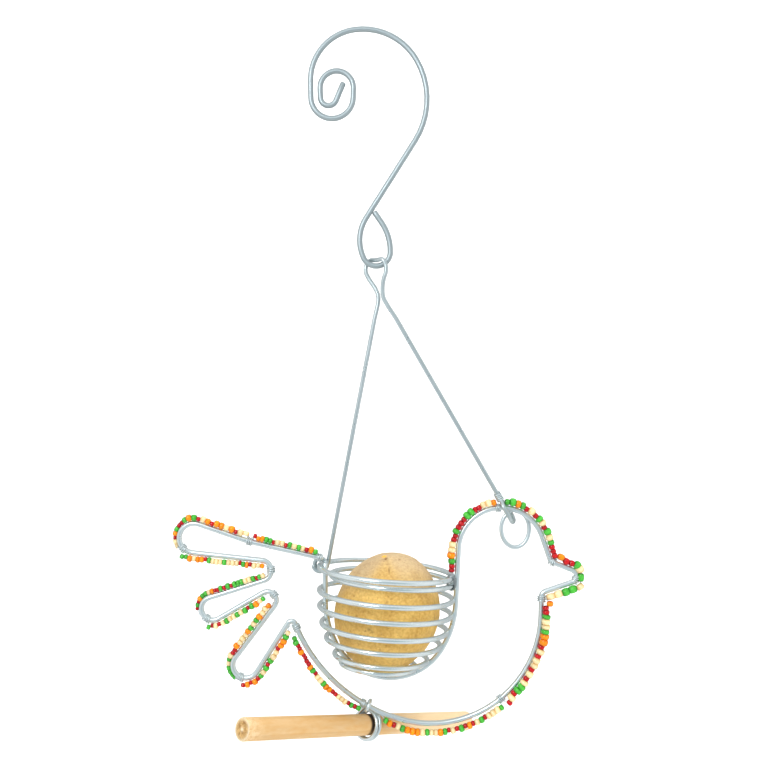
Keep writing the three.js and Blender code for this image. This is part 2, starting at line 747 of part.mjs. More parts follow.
const perchStation = facing('belly', perchAngle);
const hangStation = facing('head', hangPointAngle);
const neckArc = outline.arcs[bendNames.indexOf('head')];
const neckTop = routeAt(outline, neckArc.end);
const neckStopZ = ringPoint(upperRim, 0).z + ringWire / 2 + neckBeadGap;
const neckStation = neckArc.end + (neckStopZ - neckTop.z) / Math.sin(neckTop.heading);
const strandEnds = {
  tail_top_inner: [past('tailStart', tailBeadStart), tieStop('tail_top', -1)],
  tail_top_outer: [tieStop('tail_top', 1), tieStop('tail_tip_one', -1)],
  tail_one_under: [tieStop('tail_tip_one', 1), cornerStop('tailNotchOne', -1)],
  tail_two_over: [cornerStop('tailNotchOne', 1), tieStop('tail_tip_two', -1)],
  tail_two_under: [tieStop('tail_tip_two', 1), cornerStop('tailNotchTwo', -1)],
  tail_three_over: [cornerStop('tailNotchTwo', 1), tieStop('tail_tip_three', -1)],
  tail_three_under: [tieStop('tail_tip_three', 1), cornerStop('rump', -1)],
  belly_tail: [cornerStop('rump', 1), perchStation - perchBeadGap.tail],
  belly_breast: [perchStation + perchBeadGap.breast, tieStop('breast', -1)],
  breast: [tieStop('breast', 1), Math.min(cornerStop('beakRoot', -1), tieStop('beak_root', -1))],
  beak_under: [cornerStop('beakRoot', 1), tieStop('beak_tip', -1)],
  beak_over: [tieStop('beak_tip', 1), Math.min(cornerStop('brow', -1), tieStop('brow', -1))],
  head_front: [Math.max(cornerStop('brow', 1), tieStop('brow', 1)), hangStation - hangBeadGap.front],
  head_back: [hangStation + hangBeadGap.back, neckStation],
};
for (const [name, [from, to]] of Object.entries(strandEnds)) {
  const standOff = name === 'belly_tail' ? bellyTailStandOff : touchGap;
  addPart(`beads_${name}`, beadStrand(from, to, standOff), beadGlass);
}

// Tie round the two rim wires beside the neck
const rimTieUpper = ringPoint(upperRim, rimTieAngle);
const rimTieLower = ringPoint(lowerRim, rimTieAngle);
const rimTieUp = rimTieUpper.clone().sub(rimTieLower).normalize();
const rimTieAcross = rimTieUpper.clone().sub(new THREE.Vector3(upperRim.x, 0, upperRim.z)).normalize();
const rimBundle = {
  middle: rimTieUpper.clone().lerp(rimTieLower, 0.5),
  run: new THREE.Vector3().crossVectors(rimTieUp, rimTieAcross).normalize(),
  across: rimTieAcross,
  up: rimTieUp,
  half: rimTieUpper.distanceTo(rimTieLower) / 2,
};
addTie('tie_rim', rimBundle, ringWire + 2 * touchGap);

// Tie round the leg and the end of the hairpin
const hairpinRun = rightTop.clone().sub(rightFoot).normalize();
const hairpinMiddle = new THREE.Vector3(rightFoot.x, 0, rightFoot.z);
const hairpinBundle = {
  middle: hairpinMiddle.addScaledVector(hairpinRun, -hairpinTieDrop),
  run: hairpinRun,
  across: new THREE.Vector3().crossVectors(hairpinRun, depth).normalize(),
  up: depth,
  half: pairY + touchGap,
};
addTie('tie_hanger', hairpinBundle, hangerWire);

export default feeder;
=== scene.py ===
import math
import bpy
import numpy as np
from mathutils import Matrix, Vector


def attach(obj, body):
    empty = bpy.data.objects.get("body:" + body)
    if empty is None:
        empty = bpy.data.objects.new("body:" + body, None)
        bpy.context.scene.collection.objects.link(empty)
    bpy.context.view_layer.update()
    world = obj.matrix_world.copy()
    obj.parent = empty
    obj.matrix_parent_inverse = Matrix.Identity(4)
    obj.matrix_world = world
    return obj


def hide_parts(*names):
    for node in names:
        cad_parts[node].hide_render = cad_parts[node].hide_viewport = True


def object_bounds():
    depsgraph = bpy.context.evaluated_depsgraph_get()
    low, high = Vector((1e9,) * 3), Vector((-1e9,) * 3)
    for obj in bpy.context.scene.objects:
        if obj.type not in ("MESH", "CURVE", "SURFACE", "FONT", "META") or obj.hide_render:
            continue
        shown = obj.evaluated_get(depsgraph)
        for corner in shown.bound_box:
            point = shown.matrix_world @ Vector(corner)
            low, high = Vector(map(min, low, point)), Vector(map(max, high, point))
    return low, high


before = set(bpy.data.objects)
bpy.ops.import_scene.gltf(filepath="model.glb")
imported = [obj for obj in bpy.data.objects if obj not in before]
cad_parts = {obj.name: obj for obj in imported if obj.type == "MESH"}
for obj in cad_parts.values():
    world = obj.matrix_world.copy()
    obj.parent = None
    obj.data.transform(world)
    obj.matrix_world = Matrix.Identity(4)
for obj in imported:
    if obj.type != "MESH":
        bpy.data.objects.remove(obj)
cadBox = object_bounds()
mm = 0.001
deg = math.pi / 180
leftTurn, rightTurn = 1, -1
depth = np.array([0.0, 1.0, 0.0])  # away from the viewer

# wire stock and fits, in mm, the same as in the solids
stock = {"hook": 3.2, "hanger": 2.5, "outline": 3.0, "ring": 3.0, "eye": 2.4, "coil": 2.0,
         "thread": 0.5, "bead": 4.2, "touch": 0.3, "bendGap": 0.05}
print("stage 1: frame loaded, CAD box", [tuple(round(v, 4) for v in c) for c in cadBox])


# meshes from arrays
def putMesh(name, body, part, material, replaced=()):
    # part: verts (n,3) in mm, quads (m,4), perhaps tris (k,3), and point attributes by name
    quads, tris = part["quads"], part.get("tris", np.zeros((0, 3), int))
    loops = np.concatenate([quads.ravel(), tris.ravel()])
    starts = np.concatenate([np.arange(len(quads)) * 4, len(quads) * 4 + np.arange(len(tris)) * 3])
    mesh = bpy.data.meshes.new(name)
    mesh.vertices.add(len(part["verts"]))
    mesh.vertices.foreach_set("co", (part["verts"] * mm).astype(np.float32).ravel())
    mesh.loops.add(len(loops))
    mesh.loops.foreach_set("vertex_index", loops.astype(np.int32))
    mesh.polygons.add(len(starts))
    mesh.polygons.foreach_set("loop_start", starts.astype(np.int32))
    mesh.update(calc_edges=True)
    mesh.validate()
    mesh.polygons.foreach_set("use_smooth", np.ones(len(mesh.polygons), bool))
    for key, values in part["attributes"].items():
        kind, field = ("FLOAT_COLOR", "color") if key == "tint" else ("FLOAT_VECTOR", "vector")
        layer = mesh.attributes.new(key, kind, "POINT")
        layer.data.foreach_set(field, values.astype(np.float32).ravel())
    piece = bpy.data.objects.new(name, mesh)
    bpy.context.scene.collection.objects.link(piece)
    mesh.materials.append(material)
    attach(piece, body)
    if replaced:
        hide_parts(*replaced)


def pieceLabel(nodeName):
    # a node's words run together, each begun with a capital
    return nodeName.title().replace("_", "")


def gridQuads(rows, columns, wrapRows=False, wrapColumns=True):
    # cell corners of a rows x columns grid, row by row, wound the same way
    r = np.arange(rows if wrapRows else rows - 1)[:, None]
    c = np.arange(columns if wrapColumns else columns - 1)[None, :]
    r2, c2 = (r + 1) % rows, (c + 1) % columns
    corners = ((r, c), (r, c2), (r2, c2), (r2, c))
    return np.stack([i * columns + j for i, j in corners], -1).reshape(-1, 4)


def poleTris(rows, columns):
    # fans that close the first and last row of a grid on two poles, stored after its points
    k = np.arange(columns)
    after, last = (k + 1) % columns, (rows - 1) * columns
    first = np.stack([np.full(columns, rows * columns), after, k], 1)
    final = np.stack([np.full(columns, rows * columns + 1), last + k, last + after], 1)
    return np.concatenate([first, final])


def unit(v):
    # vectors divided by their length
    return v / np.maximum(np.linalg.norm(v, axis=-1, keepdims=True), 1e-12)


def softStep(value, at, over):
    # rises from 0 to 1 about a place, or falls where the width is negative
    return 1 / (1 + np.exp(-(value - at) / over))


def softSpot(distance, over, power=2):
    # 1 at no distance, fading to 0 past a width
    return np.exp(-(distance / over) ** power)


# tubes: trial directions for their frames, low domes on open ends, stretch of the drawn streaks
tubeShape = {"trials": 40, "seed": 3, "dome": 0.45, "domeSteps": (0.0, 0.12, 0.42, 1.0), "domeClear": 1.6,
             "endRows": 6, "streak": 0.1}


def sweepFrames(path, closed):
    # cross directions leaned off one fixed direction, then turned back by their summed twist
    ahead = unit(np.roll(path, -1, 0) - path if closed else np.diff(path, axis=0))
    if closed:
        run = unit(ahead + np.roll(ahead, 1, 0))
    else:
        run = unit(np.concatenate([ahead[:1], ahead[1:] + ahead[:-1], ahead[-1:]]))
    rng = np.random.default_rng(tubeShape["seed"])
    trial = unit(rng.normal(size=(tubeShape["trials"], 3)))
    lean = trial[np.argmax(np.linalg.norm(np.cross(trial[:, None], run[None]), axis=2).min(1))]
    side = unit(lean - run * (run @ lean)[:, None])
    other = np.cross(run, side)
    before = np.roll(side, 1, 0)
    step = np.arctan2((before * other).sum(1), (before * side).sum(1))
    twist = np.cumsum(step) - step[0]
    if closed:
        left = math.remainder(twist[-1] + step[0], 2 * math.pi)
        twist = twist - left * np.arange(len(run)) / len(run)
    side = side * np.cos(twist)[:, None] + other * np.sin(twist)[:, None]
    return side, np.cross(run, side)


def sweepTube(path, diameter, sides, closed=False):
    # a circle carried along the path; open ends close in a low dome inside the path's length
    radii = np.full(len(path), diameter / 2)
    if not closed:
        low, steps = diameter / 2 * tubeShape["dome"], np.array(tubeShape["domeSteps"])
        first, last = (edge + unit(near - edge) * (steps * low)[:, None]
                       for edge, near in ((path[0], path[1]), (path[-1], path[-2])))
        row, ends = np.arange(len(path)), np.stack([path[0], path[-1]])
        far = np.linalg.norm(path[:, None] - ends, axis=2).min(1) > tubeShape["domeClear"] * low
        far |= (row > tubeShape["endRows"]) & (row < len(path) - 1 - tubeShape["endRows"])
        path = np.concatenate([first, path[far], last[::-1]])
        shrink = np.sqrt(1 - (1 - steps) ** 2)
        radii = np.concatenate([shrink, np.ones(far.sum()), shrink[::-1]]) * diameter / 2
    side, other = sweepFrames(path, closed)
    angle = np.linspace(0, 2 * math.pi, sides, endpoint=False)
    circle = (side[:, None] * np.cos(angle)[None, :, None] + other[:, None] * np.sin(angle)[None, :, None])
    skin = path[:, None] + circle * radii[:, None, None]
    along = np.concatenate([[0], np.cumsum(np.linalg.norm(np.diff(path, axis=0), axis=1))])
    streak = along * tubeShape["streak"]
    drawn = np.stack(np.broadcast_arrays(np.cos(angle)[None], np.sin(angle)[None], streak[:, None]), -1)
    if closed:
        return {"verts": skin.reshape(-1, 3), "quads": gridQuads(len(path), sides, True),
                "attributes": {"drawn": drawn.reshape(-1, 3)}}
    rows = len(path) - 2
    verts = np.concatenate([skin[1:-1].reshape(-1, 3), path[:1], path[-1:]])
    drawn = np.concatenate([drawn[1:-1].reshape(-1, 3), [[0, 0, 0], [0, 0, streak[-1]]]])
    return {"verts": verts, "quads": gridQuads(rows, sides), "tris": poleTris(rows, sides),
            "attributes": {"drawn": drawn}}


# routes of bent wire: arcs round named bends joined by their common tangents
def bend(x, z, radius, turn):
    # one bend: its middle, its radius and the way the wire turns round it
    return {"x": x, "z": z, "radius": radius, "turn": turn}


def carriedOn(before, radius, angle, sign=1):
    # a bend of another radius that meets the one before it smoothly at an angle
    shift = sign * (before["radius"] - radius)
    return bend(before["x"] + shift * math.cos(angle * deg), before["z"] + shift * math.sin(angle * deg),
                radius, before["turn"])


def beltRoute(bends):
    # start point, heading, curvature and length of each straight and arc in turn
    x, z, r, turn = (np.array([b[k] for b in bends], float) for k in ("x", "z", "radius", "turn"))
    lever = turn * r
    slant = np.arcsin(np.clip(np.diff(lever) / np.hypot(np.diff(x), np.diff(z)), -1, 1))
    heading = np.arctan2(np.diff(z), np.diff(x)) - slant
    startX, startZ = x[:-1] + lever[:-1] * np.sin(heading), z[:-1] - lever[:-1] * np.cos(heading)
    endX, endZ = x[1:] + lever[1:] * np.sin(heading), z[1:] - lever[1:] * np.cos(heading)
    sweep = np.mod(turn[1:-1] * np.diff(heading), 2 * math.pi)
    sweep = np.where(sweep > 2 * math.pi - 1e-6, 0, sweep)
    pairs = {"x": (startX, endX[:-1]), "z": (startZ, endZ[:-1]), "h": (heading, heading[:-1]),
             "k": (0, turn[1:-1] / r[1:-1]),
             "length": (np.hypot(endX - startX, endZ - startZ), sweep * r[1:-1])}
    route = {key: np.zeros(2 * len(bends) - 3) for key in pairs}
    for key, (straight, arc) in pairs.items():
        route[key][0::2], route[key][1::2] = straight, arc
    route["start"] = np.concatenate([[0], np.cumsum(route["length"])[:-1]])
    route["total"] = route["length"].sum()
    return route


def routeAt(route, stations):
    # the point and heading at distances along a route
    s = np.asarray(stations, float)
    use = route["length"] > 1e-9
    keep = {k: route[k][use] for k in ("x", "z", "h", "k", "start")}
    i = np.clip(np.searchsorted(keep["start"], s, "right") - 1, 0, use.sum() - 1)
    along, k, h0 = s - keep["start"][i], keep["k"][i], keep["h"][i]
    h = h0 + k * along
    safe = np.where(k == 0, 1, k)
    x = keep["x"][i] + np.where(k == 0, along * np.cos(h0), (np.sin(h) - np.sin(h0)) / safe)
    z = keep["z"][i] + np.where(k == 0, along * np.sin(h0), -(np.cos(h) - np.cos(h0)) / safe)
    return x, z, h


routeStep = {"turn": 7 * deg, "straight": 6, "least": 0.01}  # spacing round bends and on straights


def routePath(route):
    # points spaced evenly along each straight and arc
    length = route["length"]
    steps = np.maximum(np.ceil(np.abs(route["k"]) * length / routeStep["turn"]),
                       np.ceil(length / routeStep["straight"]))
    steps = np.where(length < routeStep["least"], 0, steps)
    pieces = [s + l * np.arange(int(n)) / max(n, 1) for s, l, n in zip(route["start"], length, steps)]
    x, z, _ = routeAt(route, np.concatenate(pieces + [[route["total"]]]))
    return np.stack([x, 0 * x, z], 1)


def smoothPath(points, between):
    # a cubic curve through the points, paced by the square root of their spacing
    p = np.asarray(points, float)
    p = np.concatenate([2 * p[:1] - p[1:2], p, 2 * p[-1:] - p[-2:-1]])
    p0, p1, p2, p3 = p[:-3], p[1:-2], p[2:-1], p[3:]
    d0, d1, d2 = (np.sqrt(np.linalg.norm(b - a, axis=1))[:, None]
                  for a, b in ((p0, p1), (p1, p2), (p2, p3)))
    t1 = ((p1 - p0) / d0 - (p2 - p0) / (d0 + d1) + (p2 - p1) / d1) * d1
    t2 = ((p2 - p1) / d1 - (p3 - p1) / (d1 + d2) + (p3 - p2) / d2) * d1
    t = (np.arange(between) / between)[None, :, None]
    c = [v[:, None] for v in (p1, t1, -3 * p1 + 3 * p2 - 2 * t1 - t2, 2 * p1 - 2 * p2 + t1 + t2)]
    curve = c[0] + c[1] * t + c[2] * t ** 2 + c[3] * t ** 3
    return np.concatenate([curve.reshape(-1, 3), p2[-1:]])


# nodes for the finishes
def newFinish(name):
    # a new material, its tree, its shader and the call that links sockets
    material = bpy.data.materials.new(name)
    material.use_nodes = True
    tree = material.node_tree
    return material, tree, tree.nodes["Principled BSDF"], tree.links.new


def addNode(tree, kind, **values):
    # a node with its settings
    node = tree.nodes.new(kind)
    for key, value in values.items():
        setattr(node, key, value)
    return node


mottleStart = {"Coarse": 5.0, "Fine": 40.0, "Blend": 0.4, "Low": 0.3, "High": 0.7}
mottleDetail = {"Coarse": 5.0, "Fine": 3.0}


def makeMottle():
    # coarse and fine noise on one vector, mixed into a mask
    group = bpy.data.node_groups.new("mottle", "ShaderNodeTree")
    group.interface.new_socket("Vector", in_out="INPUT", socket_type="NodeSocketVector")
    for label, value in mottleStart.items():
        made = group.interface.new_socket(label, in_out="INPUT", socket_type="NodeSocketFloat")
        made.default_value = value
    for label in ("Mask", "Fine Mask"):
        group.interface.new_socket(label, in_out="OUTPUT", socket_type="NodeSocketFloat")
    into, out = addNode(group, "NodeGroupInput"), addNode(group, "NodeGroupOutput")
    coarse, fine = addNode(group, "ShaderNodeTexNoise"), addNode(group, "ShaderNodeTexNoise")
    link = group.links.new
    for noise, socket in ((coarse, "Coarse"), (fine, "Fine")):
        noise.inputs["Detail"].default_value = mottleDetail[socket]
        link(into.outputs["Vector"], noise.inputs["Vector"])
        link(into.outputs[socket], noise.inputs["Scale"])
    mix = addNode(group, "ShaderNodeMix")
    link(into.outputs["Blend"], mix.inputs[0])
    link(coarse.outputs["Fac"], mix.inputs[2])
    link(fine.outputs["Fac"], mix.inputs[3])
    spread = addNode(group, "ShaderNodeMapRange")
    link(mix.outputs[0], spread.inputs["Value"])
    link(into.outputs["Low"], spread.inputs["From Min"])
    link(into.outputs["High"], spread.inputs["From Max"])
    link(spread.outputs["Result"], out.inputs["Mask"])
    link(fine.outputs["Fac"], out.inputs["Fine Mask"])
    return group


mottle = makeMottle()


def addMottle(tree, vector, values):
    # values in the order of mottleStart
    node = addNode(tree, "ShaderNodeGroup", node_tree=mottle)
    tree.links.new(vector, node.inputs["Vector"])
    for key, value in zip(mottleStart, values):
        node.inputs[key].default_value = value
    return node.outputs["Mask"], node.outputs["Fine Mask"]


def colourBlend(tree, factor, low, high):
    # a blend of two colours by a mask
    mix = addNode(tree, "ShaderNodeMix", data_type="RGBA")
    tree.links.new(factor, mix.inputs[0])
    for socket, value in ((mix.inputs[6], low), (mix.inputs[7], high)):
        if isinstance(value, tuple):
            socket.default_value = (*value, 1)
        else:
            tree.links.new(value, socket)
    return mix.outputs[2]


def valueBlend(tree, value, low, high, start=0.0, stop=1.0):
    # a value run from low to high while another runs from start to stop
    spread = addNode(tree, "ShaderNodeMapRange")
    tree.links.new(value, spread.inputs["Value"])
    for socket, end in (("From Min", start), ("From Max", stop), ("To Min", low), ("To Max", high)):
        spread.inputs[socket].default_value = end
    return spread.outputs["Result"]


def dimmed(tree, mask, share):
    # a mask times a fixed share or another mask
    times = addNode(tree, "ShaderNodeMath", operation="MULTIPLY")
    tree.links.new(mask, times.inputs[0])
    if isinstance(share, float):
        times.inputs[1].default_value = share
    else:
        tree.links.new(share, times.inputs[1])
    return times.outputs[0]


def surfaceVector(tree, attribute, scale):
    # a stored surface vector, stretched to the pattern's proportions
    read = addNode(tree, "ShaderNodeAttribute", attribute_name=attribute)
    stretch = addNode(tree, "ShaderNodeVectorMath", operation="MULTIPLY")
    tree.links.new(read.outputs["Vector"], stretch.inputs[0])
    stretch.inputs[1].default_value = scale
    return stretch.outputs["Vector"]


def tintMasks(tree):
    # the masks stored in a tint's red, green and blue
    read = addNode(tree, "ShaderNodeAttribute", attribute_name="tint")
    parts = addNode(tree, "ShaderNodeSeparateColor")
    tree.links.new(read.outputs["Color"], parts.inputs["Color"])
    return [parts.outputs[k] for k in ("Red", "Green", "Blue")]


def objectPlace(tree):
    # the piece's own coordinates
    return addNode(tree, "ShaderNodeTexCoord").outputs["Object"]


def addBump(tree, shader, height, strength, distance):
    # fine relief from a mask
    bump = addNode(tree, "ShaderNodeBump")
    bump.inputs["Strength"].default_value, bump.inputs["Distance"].default_value = strength, distance
    tree.links.new(height, bump.inputs["Height"])
    tree.links.new(bump.outputs["Normal"], shader.inputs["Normal"])


# galvanised wire
zincLook = {"dark": (0.55, 0.64, 0.66), "light": (0.87, 0.93, 0.94), "spangle": (0.70, 0.79, 0.81),
            "rough": (0.25, 0.37), "metal": 0.88, "stretch": (3.0, 3.0, 0.22),
            "streak": (1.5, 5.0, 0.4, 0.30, 0.70), "cloud": (150.0, 700.0, 0.25, 0.32, 0.68),
            "cloudShare": 0.4, "bump": (0.015, 0.0002)}


def makeZinc(name, **own):
    # drawn zinc: long streaks along the wire under soft cloudy patches
    look = {**zincLook, **own}
    material, tree, shader, link = newFinish(name)
    streak, _ = addMottle(tree, surfaceVector(tree, "drawn", look["stretch"]), look["streak"])
    cloud, _ = addMottle(tree, objectPlace(tree), look["cloud"])
    base = colourBlend(tree, streak, look["dark"], look["light"])
    clouded = colourBlend(tree, dimmed(tree, cloud, look["cloudShare"]), base, look["spangle"])
    link(clouded, shader.inputs["Base Color"])
    link(valueBlend(tree, cloud, *look["rough"]), shader.inputs["Roughness"])
    shader.inputs["Metallic"].default_value = look["metal"]
    addBump(tree, shader, streak, *look["bump"])
    return material


zinc = makeZinc("galvanisedZinc")
hookZinc = makeZinc("hookZinc", dark=(0.33, 0.39, 0.41), light=(0.49, 0.56, 0.58),
                    spangle=(0.40, 0.46, 0.48), rough=(0.40, 0.52))
ringZinc = makeZinc("ringZinc", rough=(0.17, 0.27))
hangerZinc = makeZinc("hangerZinc", dark=(0.40, 0.47, 0.49), light=(0.66, 0.73, 0.74),
                      spangle=(0.53, 0.60, 0.62))
rimTieZinc = makeZinc("weatheredTie", dark=(0.20, 0.23, 0.24), light=(0.38, 0.42, 0.43),
                      spangle=(0.28, 0.31, 0.32), rough=(0.40, 0.52))
tieZinc = makeZinc("annealedTie", dark=(0.54, 0.61, 0.63), light=(0.76, 0.83, 0.84), rough=(0.36, 0.48))

# glass beads: colour round the middle, darker colour at the drilled ends that paints their shade, diameter,
# share of the strand
beadKinds = {"g": ((0.075, 0.50, 0.045), (0.014, 0.22, 0.01), 4.25, 1.0),
             "r": ((0.54, 0.003, 0.007), (0.26, 0.0, 0.003), 3.3, 0.84),
             "o": ((0.94, 0.31, 0.0), (0.80, 0.13, 0.0), 4.5, 1.08),
             "c": ((0.95, 0.78, 0.46), (0.72, 0.43, 0.13), 4.2, 1.08)}
glassLook = {"cloud": (380.0, 1500.0, 0.3, 0.35, 0.7), "deep": (0.84, 0.82, 0.78), "rough": (0.05, 0.16),
             "gloss": 0.45}


def makeBeadGlass(look):
    # coloured glass from the bead's tint, a little cloudy, polished
    material, tree, shader, link = newFinish("beadGlass")
    tint = addNode(tree, "ShaderNodeAttribute", attribute_name="tint").outputs["Color"]
    cloud, fine = addMottle(tree, objectPlace(tree), look["cloud"])
    deep = addNode(tree, "ShaderNodeMix", data_type="RGBA", blend_type="MULTIPLY")
    deep.inputs[0].default_value = 1.0
    link(tint, deep.inputs[6])
    deep.inputs[7].default_value = (*look["deep"], 1)
    link(colourBlend(tree, cloud, deep.outputs[2], tint), shader.inputs["Base Color"])
    link(valueBlend(tree, fine, *look["rough"]), shader.inputs["Roughness"])
    shader.inputs["Specular IOR Level"].default_value = look["gloss"]
    return material


beadGlass = makeBeadGlass(glassLook)
print("stage 2: finishes made")

# hook: bends as (x, z, radius), and bends carried on from another as (radius, angle)
hookShape = {"scrollEnd": (-12.8, -29.0), "curl": (-21.4, -37.7, 4.6), "top": (-16.7, -32.0, 9.5),
             "bottom": (-19.4, -37.6, 12.1), "bowX": -2.6, "bow": 29.3, "bowTrim": 0.19,
             "bowBack": (35.4, 98), "shoulder": (44.6, 30), "eye": (5.9, -126.0, 8.0),
             "flank": (24.0, 25), "tail": (28.5, 178), "tip": (4.6, -102.9), "sides": 20}


def makeHook(s):
    # one wire along its route of bends, from the scroll to the tip beside the eye
    bow = bend(s["bowX"], stock["hook"] / 2 - s["bow"], s["bow"] - s["bowTrim"], rightTurn)
    bowBack = carriedOn(bow, *s["bowBack"])
    eye = bend(*s["eye"], leftTurn)
    scroll = [bend(*s[k], rightTurn) for k in ("curl", "top", "bottom")]
    wireBends = [bend(*s["scrollEnd"], 0, rightTurn), *scroll, bow, bowBack,
                 carriedOn(bowBack, *s["shoulder"]), carriedOn(eye, *s["flank"], sign=-1), eye,
                 carriedOn(eye, *s["tail"], sign=-1), bend(*s["tip"], 0, leftTurn)]
    tube = sweepTube(routePath(beltRoute(wireBends)), stock["hook"], s["sides"])
    putMesh("hookWire", "hook", tube, hookZinc, ["hook"])


makeHook(hookShape)

# bird outline and cradle: plain bends as (x, z, radius, turn), in the wire's order
outlineShape = {
    "tailStart": (-24.3, -301.1, 0, leftTurn), "tailTop": (-66.3, -291.4, 60.0),
    "tailTipOne": (-98.3, -289.4, 8.4, leftTurn), "tailNotchOne": (-60.0, -308.0, 5.9, rightTurn),
    "tailTipTwo": (-87.4, -329.7, 6.6, leftTurn), "tailNotchTwo": (-56.3, -325.1, 5.1, rightTurn),
    "tailTipThree": (-68.6, -362.0, 7.4, leftTurn), "rump": (-42.6, -339.1, 2.2, rightTurn),
    "belly": (92.6, 21.7), "breast": (100.0, 253), "beakRoot": (103.3, -322.8, 3.0, rightTurn),
    "beakTip": (116.6, -311.1, 3.7, leftTurn), "brow": (107.8, -300.6, 2.8, rightTurn),
    "head": (77.4, -296.6, 24.6, leftTurn)}
outlineSides = 16
cradle = {"x": 14.0, "z": -324.9, "half": 37.3, "depth": 44.3, "side": 52.6, "top": -303.4}


def outlineBends(s):
    # plain bends, with the tail's top, belly and breast worked out from the bends beside them
    tailRun = math.atan2(s["tailTipOne"][1] + s["tailTipOne"][2] - s["tailStart"][1],
                         s["tailTipOne"][0] - s["tailStart"][0])
    topX, topZ, topRadius = s["tailTop"]
    rumpX, rumpZ, rumpRadius, _ = s["rump"]
    bellyRadius, bellyAngle = s["belly"]
    reach = bellyRadius + rumpRadius + stock["bendGap"]
    belly = bend(rumpX + reach * math.cos(bellyAngle * deg), rumpZ + reach * math.sin(bellyAngle * deg),
                 bellyRadius, leftTurn)
    front, lean = s["breast"][0], math.cos(s["breast"][1] * deg)
    worked = {
        "tailTop": bend(topX + topRadius * math.sin(tailRun), topZ - topRadius * math.cos(tailRun), topRadius,
                        rightTurn),
        "belly": belly,
        "breast": carriedOn(belly, (front - belly["x"] - bellyRadius * lean) / (1 - lean), s["breast"][1])}
    inset, reachUp = cradle["side"] - cradle["half"], cradle["side"] - cradle["depth"]
    drop = (inset ** 2 - reachUp ** 2) / (2 * reachUp)
    return {
        **{name: worked.get(name) or bend(*place) for name, place in s.items()},
        "cradleFront": bend(cradle["x"] - inset, cradle["z"], cradle["side"], rightTurn),
        "cradleBottom": bend(cradle["x"], cradle["z"] - drop, cradle["depth"] - drop, rightTurn),
        "cradleBack": bend(cradle["x"] + inset, cradle["z"], cradle["side"], rightTurn),
        "cradleTop": bend(cradle["x"] - cradle["half"], cradle["top"], 0, leftTurn)}


bends = outlineBends(outlineShape)
bendOrder = list(bends)
outline = beltRoute(list(bends.values()))
putMesh("outlineWire", "bird", sweepTube(routePath(outline), stock["outline"], outlineSides), zinc,
        ["body_frame"])
print("stage 3: hook and outline, length", round(outline["total"], 1), "mm")


# places along the outline, as distances from its start
def arcOf(name):
    # where a bend's arc starts and ends
    i = bendOrder.index(name)
    if i == 0:
        return 0.0, 0.0
    k = 2 * i - 1
    return outline["start"][k], outline["start"][k] + outline["length"][k]


def past(name, distance):
    # a distance past the middle of a bend
    return sum(arcOf(name)) / 2 + distance


def facing(name, angle):
    # where a bend faces an angle
    b = bends[name]
    x, z, _ = routeAt(outline, past(name, 0))
    turn = angle * deg - math.atan2(z - b["z"], x - b["x"])
    return past(name, b["turn"] * b["radius"] * math.atan2(math.sin(turn), math.cos(turn)))


def outlineFrame(stations):
    # points on the outline and the direction out of the bird at each
    x, z, h = routeAt(outline, stations)
    return np.stack([x, 0 * x, z], -1), np.stack([np.sin(h), 0 * h, -np.cos(h)], -1)


hangAngle, perchAngle = 86.7, 241.3  # where the hairpin holds the head and the coil holds the belly
hangStation, perchStation = facing("head", hangAngle), facing("belly", perchAngle)


def onBend(name, angle):
    # the point of a bend at an angle
    b = bends[name]
    return b["x"] + b["radius"] * math.cos(angle * deg), b["z"] + b["radius"] * math.sin(angle * deg)


# basket rings
basket = {"rimZ": -308.3, "rimSpacing": 4.3, "drops": (8.9, 8.8, 9.4, 8.3, 8.9, 4.5), "tilt": 4.5,
          "lean": 2.0, "reach": 1.3, "fitRounds": 6, "step": 3, "sides": 16}


def cradleAt(z, side, offset):
    # how far out the cradle's wire is at a height, on its tail side (-1) or neck side (1)
    centre = bends["cradleFront" if side > 0 else "cradleBack"]
    low = bends["cradleBottom"]
    share = (cradle["side"] + offset) / math.hypot(low["x"] - centre["x"], low["z"] - centre["z"])
    if z >= cradle["z"]:
        return cradle["x"] + side * (cradle["half"] + offset)
    part = centre if z >= centre["z"] + (low["z"] - centre["z"]) * share else low
    return part["x"] + side * math.sqrt((part["radius"] + offset) ** 2 - (z - part["z"]) ** 2)


def basketRing(z, outside):
    # middle and radius of a tilted ring fitted between the cradle's two sides
    clear = (stock["outline"] + stock["ring"]) / 2 + stock["touch"]
    slope, half, x = math.tan(basket["tilt"] * deg), cradle["half"], cradle["x"]
    for _ in range(basket["fitRounds"]):
        tailSide = cradleAt(z + half * slope, -1, clear if outside else -clear)
        neckSide = cradleAt(z - half * slope, 1, -clear)
        x, half = (tailSide + neckSide) / 2, (neckSide - tailSide) / 2
    return x, z, half / math.cos(basket["tilt"] * deg)


def ringPath(ring, degreesRound):
    # a circle leaned about X after a tilt about Y, drawn out a little to press against the neck wire
    a = np.asarray(degreesRound, float) * deg
    x, z, radius = ring
    tilt, lean = basket["tilt"] * deg, -basket["lean"] * deg
    px = radius * np.cos(a) * math.cos(tilt) + basket["reach"] * (1 + np.cos(a)) / 2
    py, pz = radius * np.sin(a), -radius * np.cos(a) * math.sin(tilt)
    return np.stack([x + px, py * math.cos(lean) - pz * math.sin(lean),
                     z + py * math.sin(lean) + pz * math.cos(lean)], -1)


def ringCentre(ring):
    # a ring's middle, in the bird's plane
    return np.array([ring[0], 0, ring[1]])


